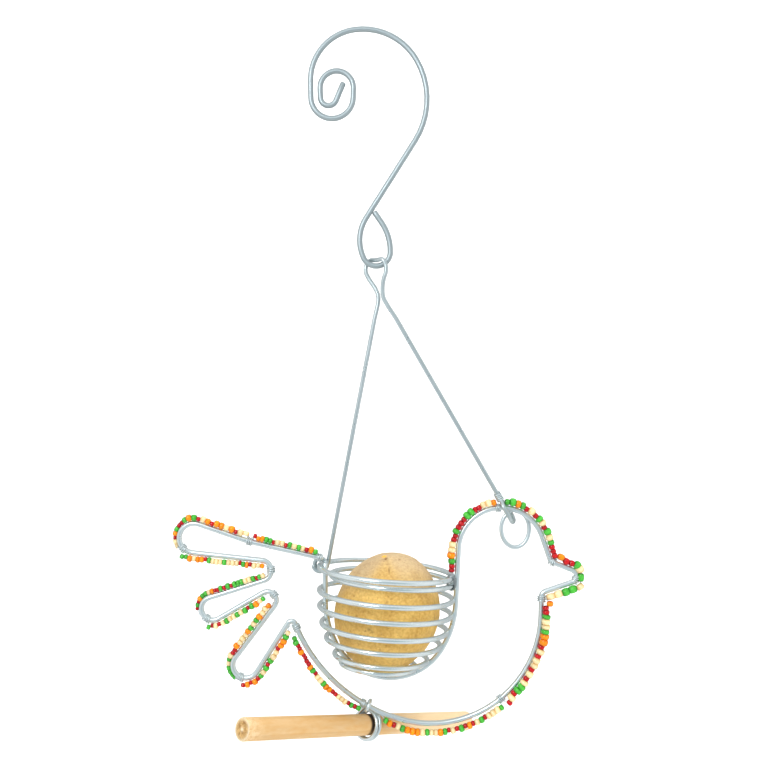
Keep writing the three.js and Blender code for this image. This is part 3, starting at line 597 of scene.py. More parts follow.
ringHeights = np.cumsum([basket["rimZ"], -basket["rimSpacing"], *(-d for d in basket["drops"])])
ringNames = ["rim_ring_upper", "rim_ring_lower"]
ringNames += [f"basket_ring_{i + 1}" for i in range(len(basket["drops"]))]
rings = {n: basketRing(z, n != "rim_ring_lower") for n, z in zip(ringNames, ringHeights)}
for ringName, ring in rings.items():
    tube = sweepTube(ringPath(ring, np.arange(0, 360, basket["step"])), stock["ring"], basket["sides"], True)
    putMesh("wire" + pieceLabel(ringName), "bird", tube, ringZinc, [ringName])
upperRim, lowerRim = rings["rim_ring_upper"], rings["rim_ring_lower"]

# bird's eye
eyeShape = {"centre": (85.7, -284.6), "half": (8.0, 10.6), "sweep": (118, 400.1, 23.5), "behind": 0.1,
            "left": ((5.4, -0.9), (4.2, -2.0)), "right": ((11.2, -3.9), (9.4, -2.4)), "between": 8,
            "sides": 14}
hang = onBend("head", hangAngle)
eyeY = (stock["outline"] + stock["eye"]) / 2 + stock["touch"] + eyeShape["behind"]


def makeEye(s):
    # an oval loop whose two ends run up behind the head wire
    a = np.arange(*s["sweep"]) * deg
    loop = np.stack([s["centre"][0] + s["half"][0] * np.cos(a), 0 * a + eyeY,
                     s["centre"][1] + s["half"][1] * np.sin(a)], 1)
    left, right = ([(hang[0] + x, eyeY, hang[1] + z) for x, z in s[k]] for k in ("left", "right"))
    path = smoothPath(np.concatenate([left, loop, right]), s["between"])
    tube = sweepTube(path, stock["eye"], s["sides"])
    putMesh("eyeWire", "bird", tube, zinc, ["eye_ring"])


makeEye(eyeShape)

# hanger: neck, eye and arch points from the foot of the hook's eye, pin points from the head's top
hangerShape = {
    "holdAngle": 171, "eyePitch": 3.2, "eyeSweep": 540, "eyeStep": 30, "eyeStart": 0.375, "eyeSlack": 0.55,
    "eyeFoot": (0.9, 0, 4.2), "legStops": (0.06, 0.5, 0.95), "linkSlack": 1.2, "rise": 0.25, "rock": 1.1,
    "footLeft": (-1.0, 1.9, -30.0), "footRight": (11.2, -1.7, -29.9),
    "neckLeft": ((1.2, 1.8, -18.4), (-0.1, 2.2, -13.6), (-4.4, 3.0, -6.8)),
    "neckRight": ((4.3, -2.8, -7.4), (3.6, -2.2, -12.4), (4.0, -1.9, -17.8), (6.6, -1.8, -22.9)),
    "eyeLeft": ((-6.1, -2.9), (-5.6, 1.1)), "eyeRight": ((5.4, 0.0), (5.4, -4.0)), "arch": (3.6, 2.8),
    "pinFoot": (-4.5, 8.9), "pinEntry": (2.8, -0.2, -5.0), "pinOut": ((-0.6, 0.9), (2.5, -4.6)),
    "pinTurn": ((4.3, -7.6), (5.7, -8.1), (5.9, -6.2)), "pinBack": ((3.1, -1.0), (0.8, 2.0)),
    "pinEnd": ((-1.7, 4.3), (-4.3, 8.6)), "pinEase": (1.8, 1.6), "pinLead": 0.2, "between": 10, "sides": 14}


def makeHanger(s):
    # one smooth wire: an eye round the rim, a leg up, a loop over the hook's eye, a leg down and a hairpin
    touch, wire, hookEye = stock["touch"], stock["hanger"], hookShape["eye"]
    overHook = (stock["hook"] + wire) / 2
    linkY, rise = overHook + s["linkSlack"] * touch, overHook + touch + s["rise"]
    pinFront = -((stock["outline"] + wire) / 2 + s["rock"])
    pinRear = eyeY + (stock["eye"] + wire) / 2 + s["rock"]
    pairY = (wire + touch) / 2
    link = lambda x, y, z: (hookEye[0] + x, y, hookEye[1] - hookEye[2] + z)
    pin = lambda x, y, z: (hang[0] + x, y, hang[1] + z)
    leg = lambda p, q: [tuple(p), *(tuple(p + (q - p) * t) for t in s["legStops"]), tuple(q)]
    hold, after = ringPath(upperRim, [s["holdAngle"], s["holdAngle"] + 1])
    run = unit(after - hold)
    inward = unit(ringCentre(upperRim) - hold)
    up = unit(np.cross(run, inward))
    up = up * (1 if up[2] > 0 else -1)
    a = np.arange(-s["eyeSweep"], s["eyeStep"] / 2, s["eyeStep"])
    radius = (stock["ring"] + wire) / 2 + touch + s["eyeSlack"]
    eye = (hold + inward * (radius * np.cos(a * deg))[:, None] + up * (radius * np.sin(a * deg))[:, None]
           - run * (s["eyePitch"] * (a / 360 + s["eyeStart"]))[:, None])
    leftTop, rightTop = np.array(link(*s["footLeft"])), np.array(link(*s["footRight"]))
    footX, footZ = s["pinFoot"]
    rightFoot = np.array(pin(footX, -pairY, footZ))
    archX, archY = s["arch"]
    entryX, entryY, entryZ = s["pinEntry"]
    frontEase, rearEase = s["pinEase"]
    points = [*map(tuple, eye), *leg(eye[-1] + s["eyeFoot"], leftTop),
              *(link(*p) for p in s["neckLeft"]), *(link(x, linkY, z) for x, z in s["eyeLeft"]),
              link(-archX, archY, rise), link(0, 0, rise), link(archX, -archY, rise),
              *(link(x, -linkY, z) for x, z in s["eyeRight"]), *(link(*p) for p in s["neckRight"]),
              *leg(rightTop, rightFoot), pin(footX + entryX, entryY - pairY, footZ + entryZ)]
    pinDepths = {"pinOut": (pinFront, pinFront), "pinBack": (pinRear, pinRear - rearEase),
                 "pinTurn": (pinFront + frontEase, (pinFront + pinRear) / 2, pinRear - rearEase),
                 "pinEnd": (pairY + s["pinLead"], pairY)}
    for part in ("pinOut", "pinTurn", "pinBack", "pinEnd"):
        points += [pin(x, y, z) for (x, z), y in zip(s[part], pinDepths[part])]
    tube = sweepTube(smoothPath(points, s["between"]), wire, s["sides"])
    putMesh("hangerWire", "hanger", tube, hangerZinc, ["hanger"])
    return rightTop, rightFoot, pairY


rightTop, rightFoot, pairY = makeHanger(hangerShape)
print("stage 4: basket rings, eye and hanger")

# ties of thin wire
tieShape = {"turns": 3, "turnSteps": 24, "span": 3.3, "wire": 0.95, "hug": 0.03, "stickOut": 0.7,
            "flatten": 6, "sides": 8, "rimAngle": -15, "rimSlack": 0.3, "pinDrop": 3.1, "pinSpan": 1.4,
            "pinTurns": 4.5}
tieStations = {
    "tail_top": past("tailStart", 43.3), "tail_tip_one": past("tailTipOne", 8.0),
    "tail_notch_one": past("tailNotchOne", 0), "tail_tip_two": past("tailTipTwo", 4.0),
    "tail_notch_two": past("tailNotchTwo", 0), "tail_tip_three": past("tailTipThree", 1.3),
    "rump": past("rump", 4.6), "breast": past("breast", 4.0), "beak_root": past("beakRoot", -3.2),
    "beak_tip": past("beakTip", -1.6), "brow": past("brow", -1.0)}


def tieTube(middle, across, up, core, half=0.0, turns=tieShape["turns"]):
    # turns of thin wire round a core that may bend, or round two wires side by side; ends stick out a little
    a = np.linspace(0, 2 * math.pi * turns, len(middle))
    radius = (core + tieShape["wire"]) / 2 + tieShape["hug"]
    rise = radius * np.sin(a) + half * np.tanh(tieShape["flatten"] * np.sin(a))
    path = middle + across * (radius * np.cos(a))[:, None] + up * rise[:, None]
    first, last = (path[i] + unit(path[i] - path[j]) * tieShape["stickOut"] for i, j in ((0, 1), (-1, -2)))
    return sweepTube(np.concatenate([[first], path, [last]]), tieShape["wire"], tieShape["sides"])


def putTie(name, body, tube, finish=tieZinc):
    # a wound tie in place of its plain solid
    putMesh("tieWire" + pieceLabel(name), body, tube, finish, ["tie_" + name])


tieSteps = np.linspace(-0.5, 0.5, tieShape["turnSteps"] * tieShape["turns"] + 1) * tieShape["span"]
for tieName, station in tieStations.items():
    middle, out = outlineFrame(station + tieSteps)
    putTie(tieName, "bird", tieTube(middle, out, depth, stock["outline"]))
upper, lower = (ringPath(rim, [tieShape["rimAngle"]])[0] for rim in (upperRim, lowerRim))
rimUp, rimOut = unit(upper - lower), unit(upper - ringCentre(upperRim))
rimLine = (upper + lower) / 2 + unit(np.cross(rimUp, rimOut)) * tieSteps[:, None]
putTie("rim", "bird", tieTube(rimLine, rimOut, rimUp, stock["ring"] + tieShape["rimSlack"],
                              np.linalg.norm(upper - lower) / 2), rimTieZinc)
pinRun = unit(rightTop - rightFoot)
pinMiddle = np.array([rightFoot[0], 0, rightFoot[2]]) - pinRun * tieShape["pinDrop"]
pinLine = pinMiddle + pinRun * tieShape["pinSpan"] * tieSteps[:, None]
putTie("hanger", "hanger", tieTube(pinLine, unit(np.cross(pinRun, depth)), depth, stock["hanger"], pairY,
                                   tieShape["pinTurns"]))

# short bindings that hold the strands' wires: middle along the outline, length, turns
bindings = {"TailRoot": (2.2, 2.6, 2.5), "Hang": (hangStation + 3.3, 2.2, 2.0),
            "Perch": (perchStation - 3.4, 1.9, 2.0)}
bindingTurnSteps = 22
for bindingName, (station, length, turns) in bindings.items():
    steps = np.linspace(-0.5, 0.5, round(bindingTurnSteps * turns) + 1) * length
    middle, out = outlineFrame(station + steps)
    turned = tieTube(middle, -out, depth, stock["outline"], turns=turns)
    putMesh("binding" + bindingName, "bird", turned, tieZinc)
print("stage 5: ties and bindings")

# bead strands: colours in order from the start of each strand
strandColours = {
    "tail_top_inner": "gorcgcgrccrggoor", "tail_top_outer": "ccrocoorocrgogrrgorcc",
    "tail_one_under": "ggocoorgcccgcccrgorcco", "tail_two_over": "cgrgccgggrgrgrrocggorgr",
    "tail_two_under": "grcrcgccgcgrgocg", "tail_three_over": "occogcgocccorrcgcgggg",
    "tail_three_under": "rororgcgrgccroogc", "belly_tail": "ggrrorrrrogrccgoorrcccrgrg",
    "belly_breast": "gorcgooocgccogrcrgrorcgrcccg", "breast": "rcrggcrcrccrcroogccgrro",
    "beak_under": "ccggc", "beak_over": "gcgrro", "head_front": "rrrgcgrcgrcrgogg",
    "head_back": "occrrggrrrgrrccogrr"}
# how a strand hangs: bead size, slack beside the wire, how far forward, sag, and tucked behind at its end
strandPlain = {"size": 1.0, "loose": -0.15, "forward": 0.9, "sag": 0.0, "skew": 1.0, "tucked": False}
tailStrand, tuckedStrand = {"size": 0.88}, {"size": 0.88, "tucked": True}
strandOwn = {
    "tail_top_inner": tailStrand, "tail_top_outer": tuckedStrand, "tail_one_under": tailStrand,
    "tail_two_over": tuckedStrand, "tail_two_under": tailStrand, "tail_three_over": tuckedStrand,
    "tail_three_under": tailStrand, "belly_tail": {"size": 0.88, "loose": 0.5, "sag": 1.2, "skew": 1.6},
    "belly_breast": {"sag": 1.5, "skew": 0.8}, "breast": {"size": 1.2, "loose": -1.2, "forward": 2.7},
    "beak_under": {"size": 1.16}, "beak_over": {"size": 1.16}, "head_front": {"size": 1.08},
    "head_back": {"size": 1.08}}
# where strands stop, in mm along the outline from ties, corners, the coil and the hairpin
strandFit = {"rootGap": 4.0, "tieReach": 1.5, "beadLength": 2.65, "cornerReach": 4.4, "rumpReach": (3.4, 0.6),
             "tipTwoShort": 4.4, "perchTail": 2.9, "perchBreast": 11.4, "breastLong": 0.7, "beakLong": 1.2,
             "hangFront": 0.3, "hangBack": 4.2, "neck": 0.8}


def cornerStop(name, side, reach=strandFit["cornerReach"]):
    # where beads on the two sides of an inner corner would meet, drawn in by a reach
    start, end = arcOf(name)
    radius = bends[name]["radius"]
    halfTurn = (end - start) / radius / 2
    offset = (stock["outline"] + stock["bead"]) / 2 + stock["touch"]
    apart = (stock["bead"] / 2 + stock["touch"]) / math.cos(halfTurn) - strandFit["beadLength"] / 2
    back = offset * math.tan(halfTurn) + apart - radius * math.tan(halfTurn) - reach
    return start - back if side < 0 else end + back


def tieStop(name, side, more=0.0):
    # beside a tie, before it (-1) or after it (1)
    return tieStations[name] + side * strandFit["tieReach"] + more


neckEnd = arcOf("head")[1]
_, neckZ, neckHeading = routeAt(outline, neckEnd)
neckStopZ = ringPath(upperRim, [0])[0][2] + stock["ring"] / 2 + strandFit["neck"]
strandEnds = {
    "tail_top_inner": (past("tailStart", strandFit["rootGap"]), tieStop("tail_top", -1)),
    "tail_top_outer": (tieStop("tail_top", 1), tieStop("tail_tip_one", -1)),
    "tail_one_under": (tieStop("tail_tip_one", 1), cornerStop("tailNotchOne", -1)),
    "tail_two_over": (cornerStop("tailNotchOne", 1), tieStop("tail_tip_two", -1, -strandFit["tipTwoShort"])),
    "tail_two_under": (tieStop("tail_tip_two", 1), cornerStop("tailNotchTwo", -1)),
    "tail_three_over": (cornerStop("tailNotchTwo", 1), tieStop("tail_tip_three", -1)),
    "tail_three_under": (tieStop("tail_tip_three", 1), cornerStop("rump", -1, strandFit["rumpReach"][0])),
    "belly_tail": (cornerStop("rump", 1, strandFit["rumpReach"][1]), perchStation - strandFit["perchTail"]),
    "belly_breast": (perchStation + strandFit["perchBreast"], tieStop("breast", -1)),
    "breast": (tieStop("breast", 1), tieStop("beak_root", -1, strandFit["breastLong"])),
    "beak_under": (cornerStop("beakRoot", 1), tieStop("beak_tip", -1, strandFit["beakLong"])),
    "beak_over": (tieStop("beak_tip", 1, -strandFit["beakLong"]),
                  min(cornerStop("brow", -1), tieStop("brow", -1))),
    "head_front": (max(cornerStop("brow", 1), tieStop("brow", 1)), hangStation - strandFit["hangFront"]),
    "head_back": (hangStation + strandFit["hangBack"], neckEnd + (neckStopZ - neckZ) / math.sin(neckHeading))}

beadProfile = np.array([(-0.8, 0.3), (-1.0, 0.64), (-0.68, 0.91), (0.0, 1.0), (0.68, 0.91), (1.0, 0.64),
                        (0.8, 0.3)])
# spread of lengths, sizes and shades; smaller beads near a strand's ends; slack, turn and depth of each
beadFit = {"seed": 40, "sides": 10, "samples": 400, "lengths": (0.86, 1.14), "sizes": (0.90, 1.04),
           "shades": (0.82, 1.10), "endReach": 3.4, "endRadius": 1.7, "slack": 0.25, "askew": 0.09,
           "uneven": 0.2, "boxGap": 0.2, "half": 0.54}
tuckFit = {"stand": 2.7, "behind": 1.7, "reach": 21.0, "ease": 8, "size": 0.87}
threadFit = {"far": 2.6, "near": 1.4, "margin": 0.1, "press": (0.9, 1.0, 1.0, 0.9), "rest": 0.04,
             "between": 3, "sides": 6}


def placeBeads(name, kinds, rng):
    # beads end to end on a line beside the outline, each by its share, with its own size, slack and turn
    start, end = strandEnds[name]
    own = {**strandPlain, **strandOwn[name]}
    s = np.linspace(start, end, beadFit["samples"])
    point, out = outlineFrame(s)
    line = point + out * ((stock["outline"] + stock["bead"]) / 2 + own["loose"])
    along = np.concatenate([[0], np.cumsum(np.linalg.norm(np.diff(line, axis=0), axis=1))])
    diameter, share = (np.array([k[i] for k in kinds]) for i in (2, 3))
    count = len(kinds)
    share = share * rng.uniform(*beadFit["lengths"], count)
    length = share / share.sum() * along[-1]
    middle = np.cumsum(length) - length / 2
    station = np.interp(middle, along, s)
    radius = diameter / 2 * own["size"] * rng.uniform(*beadFit["sizes"], count)
    atEnd = np.minimum(middle, along[-1] - middle) < beadFit["endReach"]
    radius = np.where(atEnd, np.minimum(radius, beadFit["endRadius"] * own["size"]), radius)
    sag = own["sag"] * np.sin(math.pi * np.clip(middle / along[-1], 0, 1) ** own["skew"])
    stand = stock["outline"] / 2 + radius + own["loose"] + sag + rng.uniform(0, beadFit["slack"], count)
    fromTie = np.abs(station[:, None] - np.array(list(tieStations.values()))).min(1)
    overTie = np.maximum(stand, stock["outline"] / 2 + tieShape["wire"] + radius)
    stand = np.where(fromTie < (tieShape["span"] + length) / 2, overTie, stand)
    x, z, h = routeAt(outline, station)
    heading = h + rng.normal(0, beadFit["askew"], count)
    back = rng.normal(-own["forward"], beadFit["uneven"], count)
    if own["tucked"]:
        tuck = np.clip((middle - along[-1] + tuckFit["reach"]) / tuckFit["ease"], 0, 1)
        radius = radius * (1 - tuck * (1 - tuckFit["size"]))
        stand, back = stand + tuck * (tuckFit["stand"] - stand), back + tuck * (tuckFit["behind"] - back)
    centre = np.stack([x + stand * np.sin(h), back, z - stand * np.cos(h)], 1)
    centre[:, 0] = np.minimum(centre[:, 0], cadBox[1][0] / mm - beadFit["boxGap"] - radius)
    return centre, heading, length, radius


def beadMesh(kinds, centre, heading, length, radius, rng):
    # rounded barrels: one closed profile turned about each bead's own axis, with shade painted darker towards
    # the drilled ends
    count, sides, rows = len(kinds), beadFit["sides"], len(beadProfile)
    run = np.stack([np.cos(heading), 0 * heading, np.sin(heading)], 1)
    out = np.stack([np.sin(heading), 0 * heading, -np.cos(heading)], 1)
    a = np.linspace(0, 2 * math.pi, sides, endpoint=False)
    circle = out[:, None] * np.cos(a)[None, :, None] + depth * np.sin(a)[None, :, None]
    lengthwise, outward = beadProfile.T[:, None, :, None, None]
    half = (length * beadFit["half"])[:, None, None, None]
    verts = (centre[:, None, None] + run[:, None, None] * (lengthwise * half)
             + circle[:, None] * (outward * radius[:, None, None, None]))
    one = gridQuads(rows, sides, wrapRows=True)
    quads = (one[None] + (np.arange(count) * rows * sides)[:, None, None]).reshape(-1, 4)
    middleTint, endShade = (np.array([k[i] for k in kinds])[:, None] for i in (0, 1))
    # painted shade: the colour runs from the middle colour to the darker end colour towards the drilled ends
    edge = (np.abs(beadProfile[:, 0]) ** 2)[None, :, None]
    tint = middleTint * (1 - edge) + endShade * edge
    tint = np.clip(tint * rng.uniform(*beadFit["shades"], (count, 1, 1)), 0, 1)
    tint = np.concatenate([tint, np.ones((count, rows, 1))], 2)
    return {"verts": verts.reshape(-1, 3), "quads": quads,
            "attributes": {"tint": np.repeat(tint.reshape(-1, 4), sides, axis=0)}}


def threadTube(name, centre):
    # a thin wire through the beads whose two ends run back to lie on the outline
    start, end = strandEnds[name]
    f = threadFit
    stations = np.array([start - f["far"], start - f["near"], end + f["near"], end + f["far"]])
    point, out = outlineFrame(np.clip(stations, f["margin"], outline["total"] - f["margin"]))
    aside = np.array(f["press"]) * (stock["outline"] + stock["thread"]) / 2 + f["rest"]
    leads = point + out * aside[:, None]
    line = smoothPath(np.concatenate([leads[:2], centre, leads[2:]]), f["between"])
    return sweepTube(line, stock["thread"], f["sides"])


for order, (strandName, colours) in enumerate(strandColours.items()):
    rng = np.random.default_rng(beadFit["seed"] + order)
    kinds = [beadKinds[c] for c in colours]
    centre, heading, length, radius = placeBeads(strandName, kinds, rng)
    beads = beadMesh(kinds, centre, heading, length, radius, rng)
    putMesh("beads" + pieceLabel(strandName), "bird", beads, beadGlass, ["beads_" + strandName])
    putMesh("thread" + pieceLabel(strandName), "bird", threadTube(strandName, centre), tieZinc)
print("stage 6: bead strands,", sum(map(len, strandColours.values())), "beads")

# perch
perchShape = {"dowel": 12.0, "plan": 46, "tilt": 13.0, "clear": 0.9, "offset": (0.1, 4.0), "bellyGap": 1.8,
              "turns": 2.25, "turnSteps": 16, "pitch": 2.7, "leave": -50, "eye": 3.4,
              "eyeSweep": (0, 232.1, 29), "between": 5, "sides": 14}


def perchFrame(s):
    # the dowel's three directions, the belly point it hangs from, the coil's radius and its middle
    plan, tilt = s["plan"] * deg, s["tilt"] * deg
    run = np.array([math.cos(tilt) * math.cos(plan), math.cos(tilt) * math.sin(plan), -math.sin(tilt)])
    up = np.array([math.sin(tilt) * math.cos(plan), math.sin(tilt) * math.sin(plan), math.cos(tilt)])
    holdX, holdZ = onBend("belly", perchAngle)
    hold = np.array([holdX, 0, holdZ])
    radius = s["dowel"] / 2 + s["clear"] + stock["coil"] / 2
    drop = radius + (stock["coil"] + stock["outline"]) / 2 + s["bellyGap"]
    return run, up, np.cross(run, up), hold, radius, hold + (*s["offset"], -drop)


def makeCoil(s):
    # a helix round the dowel that leaves it to hook over the belly wire
    run, up, side, hold, radius, centre = perchFrame(s)
    count = round(s["turns"] * s["turnSteps"])
    t = np.arange(count + 1) / count
    a = (s["leave"] - 360 * s["turns"] * (1 - t)) * deg
    helix = (centre + run * (s["pitch"] * s["turns"] * (0.5 - t))[:, None]
             + up * (radius * np.cos(a))[:, None] + side * (radius * np.sin(a))[:, None])
    inward = np.array([-math.cos(perchAngle * deg), 0, -math.sin(perchAngle * deg)])
    e = np.arange(*s["eyeSweep"]) * deg
    eye = hold + inward * (s["eye"] * np.sin(e))[:, None] + depth * (s["eye"] * np.cos(e))[:, None]
    tube = sweepTube(smoothPath(np.concatenate([helix, eye]), s["between"]), stock["coil"], s["sides"])
    putMesh("perchCoilWire", "perch_loop", tube, zinc, ["perch_coil"])


makeCoil(perchShape)

pineLook = {"pale": (0.62, 0.415, 0.205), "deep": (0.41, 0.235, 0.085), "line": (0.34, 0.18, 0.065),
            "patch": (0.56, 0.31, 0.092), "coilShadow": (0.022, 0.009, 0.003), "bleachedAndLit": (0.90, 0.72, 0.47),
            "end": (0.33, 0.165, 0.042), "endPale": (0.64, 0.40, 0.145), "pith": (0.86, 0.74, 0.52),
            "long": (1.0, 1.0, 0.05), "wander": (0.25, 1.4, 0.3, 0.3, 0.7), "ringAxis": (9.0, 4.0, 0),
            "rings": {"Scale": 0.17, "Distortion": 1.6, "Detail": 2.0, "Detail Scale": 0.8},
            "ringShare": 0.75, "poreStretch": (5.0, 5.0, 0.12), "pores": (1.0, 3.0, 0.5, 0.56, 0.72),
            "poreShare": 0.4, "cut": (0.5, 1.7, 0.45, 0.40, 0.60), "patchStretch": (1.0, 1.0, 0.3),
            "patches": (0.16, 0.7, 0.35, 0.40, 0.62), "patchShare": 0.75, "farEndLight": (0.0, 0.5, 2.0, 45.0),
            "worn": (0.0, 0.5, -80.0, -92.0), "rough": (0.55, 0.80), "bump": (0.25, 0.0002)}


def makePine(look):
    # growth rings about an axis beside the rod, pulled long by the grain, with pores and mottled end grain
    material, tree, shader, link = newFinish("pine")
    onEnd, pith, coilShadow = tintMasks(tree)
    grainLong = surfaceVector(tree, "grain", look["long"])
    wander, _ = addMottle(tree, grainLong, look["wander"])
    ringPlace = addNode(tree, "ShaderNodeMapping")
    link(grainLong, ringPlace.inputs["Vector"])
    ringPlace.inputs["Location"].default_value = look["ringAxis"]
    wave = addNode(tree, "ShaderNodeTexWave", wave_type="RINGS", rings_direction="Z", wave_profile="SAW")
    for socket, value in look["rings"].items():
        wave.inputs[socket].default_value = value
    link(ringPlace.outputs["Vector"], wave.inputs["Vector"])
    base = colourBlend(tree, wander, look["pale"], look["deep"])
    sides = colourBlend(tree, dimmed(tree, wave.outputs["Fac"], look["ringShare"]), look["pale"], base)
    pores, finePores = addMottle(tree, surfaceVector(tree, "grain", look["poreStretch"]), look["pores"])
    sides = colourBlend(tree, dimmed(tree, pores, look["poreShare"]), sides, look["line"])
    patches, _ = addMottle(tree, surfaceVector(tree, "grain", look["patchStretch"]), look["patches"])
    sides = colourBlend(tree, dimmed(tree, patches, look["patchShare"]), sides, look["patch"])
    cut, _ = addMottle(tree, surfaceVector(tree, "grain", (1.0, 1.0, 1.0)), look["cut"])
    along = addNode(tree, "ShaderNodeSeparateXYZ")
    link(surfaceVector(tree, "grain", (0, 0, 1)), along.inputs[0])
    worn, farEndLight = (valueBlend(tree, along.outputs["Z"], *look[k]) for k in ("worn", "farEndLight"))
    # worn: real bleached wear near the near end; the same pale colour also serves the painted light below
    sides = colourBlend(tree, dimmed(tree, worn, cut), sides, look["bleachedAndLit"])
    # painted light: the rod's sides grow paler towards its far end
    sides = colourBlend(tree, farEndLight, sides, look["bleachedAndLit"])
    # painted shadow: a near-black band on the rod beside the coil, where the coil shades it
    sides = colourBlend(tree, coilShadow, sides, look["coilShadow"])
    ends = colourBlend(tree, pith, colourBlend(tree, cut, look["end"], look["endPale"]), look["pith"])
    link(colourBlend(tree, onEnd, sides, ends), shader.inputs["Base Color"])
    link(valueBlend(tree, finePores, *look["rough"]), shader.inputs["Roughness"])
    addBump(tree, shader, finePores, *look["bump"])
    return material


# rod: end rings as shares of its radius, its eased edge, flats of stock that is never quite round, end-grain
# marks, and a painted shadow beside the coil, fainter on the underside
rodShape = {"length": 184.0, "shift": -0.9, "trim": 0.99, "sides": 48, "rows": 240, "bodyInset": 3,
            "endRings": (0.08, 0.2, 0.35, 0.5, 0.65, 0.78, 0.88),
            "edge": ((0.05, 0.94), (0.22, 0.975), (0.6, 1.0)),
            "flats": ((0.006, 2, 0.7), (0.004, 3, 0.0)), "endDepth": 0.35, "pith": 0.15,
            "rim": (0.7, 0.80, 0.05), "coilShadow": ((-3.2, 0.22), (1.0, -0.5)), "coilShadowUnder": (0.45, -2.8, 0.8)}


def makeDowel(s):
    # a turned rod: a stepped profile with eased ends carried round the axis, closed at its poles
    run, up, side, _, _, centre = perchFrame(perchShape)
    length, sides = s["length"], s["sides"]
    r = perchShape["dowel"] / 2 * s["trim"]
    inner = np.array(s["endRings"])
    cap = np.concatenate([np.stack([0 * inner, inner], 1), s["edge"]])
    body = np.stack([np.linspace(s["bodyInset"], length - s["bodyInset"], s["rows"]), np.ones(s["rows"])], 1)
    profile = np.concatenate([cap, body, cap[::-1] * (-1, 1) + (length, 0)]) * (1, r) - (length / 2, 0)
    a = np.linspace(0, 2 * math.pi, sides, endpoint=False)
    flat = 1 - sum(deep * (1 + np.cos(lobes * a + turn)) / 2 for deep, lobes, turn in s["flats"])
    sideways, upward = (profile[:, 1:] * (turn * flat) for turn in (np.cos(a), np.sin(a)))
    local = np.stack(np.broadcast_arrays(sideways, upward, profile[:, :1]), -1).reshape(-1, 3)
    local = np.concatenate([local, [[0, 0, -length / 2], [0, 0, length / 2]]])
    verts = centre + run * s["shift"] + side * local[:, :1] + up * local[:, 1:2] + run * local[:, 2:]
    out = np.hypot(local[:, 0], local[:, 1]) / r
    onEnd = softSpot(length / 2 - np.abs(local[:, 2]), s["endDepth"])
    rimShare, rimAt, rimOver = s["rim"]
    pith = onEnd * (softSpot(out, s["pith"]) + rimShare * softStep(out, rimAt, rimOver))
    along = local[:, 2] + s["shift"]
    least, lowAt, lowOver = s["coilShadowUnder"]
    # painted shadow of the coil on the rod: a band beside it, kept at a share of its strength on the
    # underside
    coilShadow = softStep(along, *s["coilShadow"][0]) * softStep(along, *s["coilShadow"][1])
    coilShadow = coilShadow * (least + (1 - least) * softStep(local[:, 1], lowAt, lowOver))
    tint = np.stack([onEnd, pith, coilShadow, 1 + 0 * out], 1)
    rod = {"verts": verts, "quads": gridQuads(len(profile), sides), "tris": poleTris(len(profile), sides),
           "attributes": {"grain": local, "tint": tint}}
    putMesh("perchRod", "perch", rod, makePine(pineLook), ["perch_dowel"])


makeDowel(rodShape)
print("stage 7: perch coil and rod")

# suet ball: places on its skin as (front, high) angles or as directions, widths in radians, depths in mm
suetShape = {
    "radius": 29.5, "half": 34.3, "tilt": 18, "x": 12.2, "y": 0.8, "seat": 1.8, "swell": 0.8,
    "rows": 170, "columns": 260, "lumps": ((0.45, 0.075, 5), (0.30, 0.22, 6)),
    "crumb": (0.4, 0.75, 7, 0.12, 8),
    "pits": 90, "pitSeed": 17, "pitWide": (0.007, 0.028), "pitDeep": (0.15, 0.7), "spotDeep": 0.8,
    "spots": ((-0.35, -0.11, 0.030), (-0.29, -0.16, 0.022), (-0.42, -0.14, 0.018), (0.05, 0.34, 0.020),
              (-0.12, -0.19, 0.016), (0.30, -0.30, 0.020), (-0.62, 0.10, 0.018)),
    "blotch": (0.51, 0.07), "blotchRing": (0.055, 0.018),
    "creaseAt": (0.08, 1.0), "creaseWave": (0.03, 11), "creaseSize": (0.016, 0.09),
    "seamAt": 1.08, "seamWave": (0.03, 2.5), "seamWide": 0.020, "seamBand": (0.10, 0.62),
    "step": (0.35, 0.012),
    "kernel": (-1.9, -5.6, 33.3), "kernelWide": 0.045, "kernelProud": 0.9,
    "husk": (-0.9, -8.0, 32.6), "huskWide": 0.032,
    "golden": (0.48, -0.06, 0.5), "pale": (0.85, 0.62, 0.12), "paleWander": (0.5, 0.09, 9),
    "pressed": {"pits": 1.0, "crease": 0.7, "seam": 0.3, "blotch": 0.15, "husk": 0.5},
    # darkening: painted shade in the pits, crease and seam; the husk and the blotch's rim are darker in their
    # own colour
    "shadedAndStained": {"pits": 0.85, "crease": 0.75, "seam": 0.35, "blotch": 0.22, "husk": 0.8}}
suetLook = {"tan": ((0.505, 0.280, 0.052), (0.76, 0.502, 0.139)),
            "top": ((0.385, 0.272, 0.150), (0.515, 0.388, 0.238)),
            "spread": (75.0, 700.0, 0.50, 0.35, 0.65), "specks": (820.0, 2100.0, 0.35, 0.55, 0.68),
            "speckShare": 0.55, "speck": (0.26, 0.13, 0.04), "hollowShadeAndStain": (0.16, 0.075, 0.02),
            "kernel": (0.86, 0.42, 0.02), "rough": (0.50, 0.82), "glow": 0.08,
            "glowReach": (0.004, 0.002, 0.001), "bump": (0.6, 0.0006)}


def latticeNoise(points, scale, seed, cells=32, shift=100.5):
    # smooth noise: random values on a lattice, blended between the eight corners of each cell
    table = np.random.default_rng(seed).random((cells, cells, cells))
    p = points * scale + shift
    i = np.floor(p).astype(int)
    f = p - i
    f = f * f * (3 - 2 * f)
    value = 0
    for corner in np.ndindex(2, 2, 2):
        weight = np.abs(1 - np.array(corner) - f).prod(1)
        value = value + weight * table[tuple(((i + corner) % cells).T)]
    return value


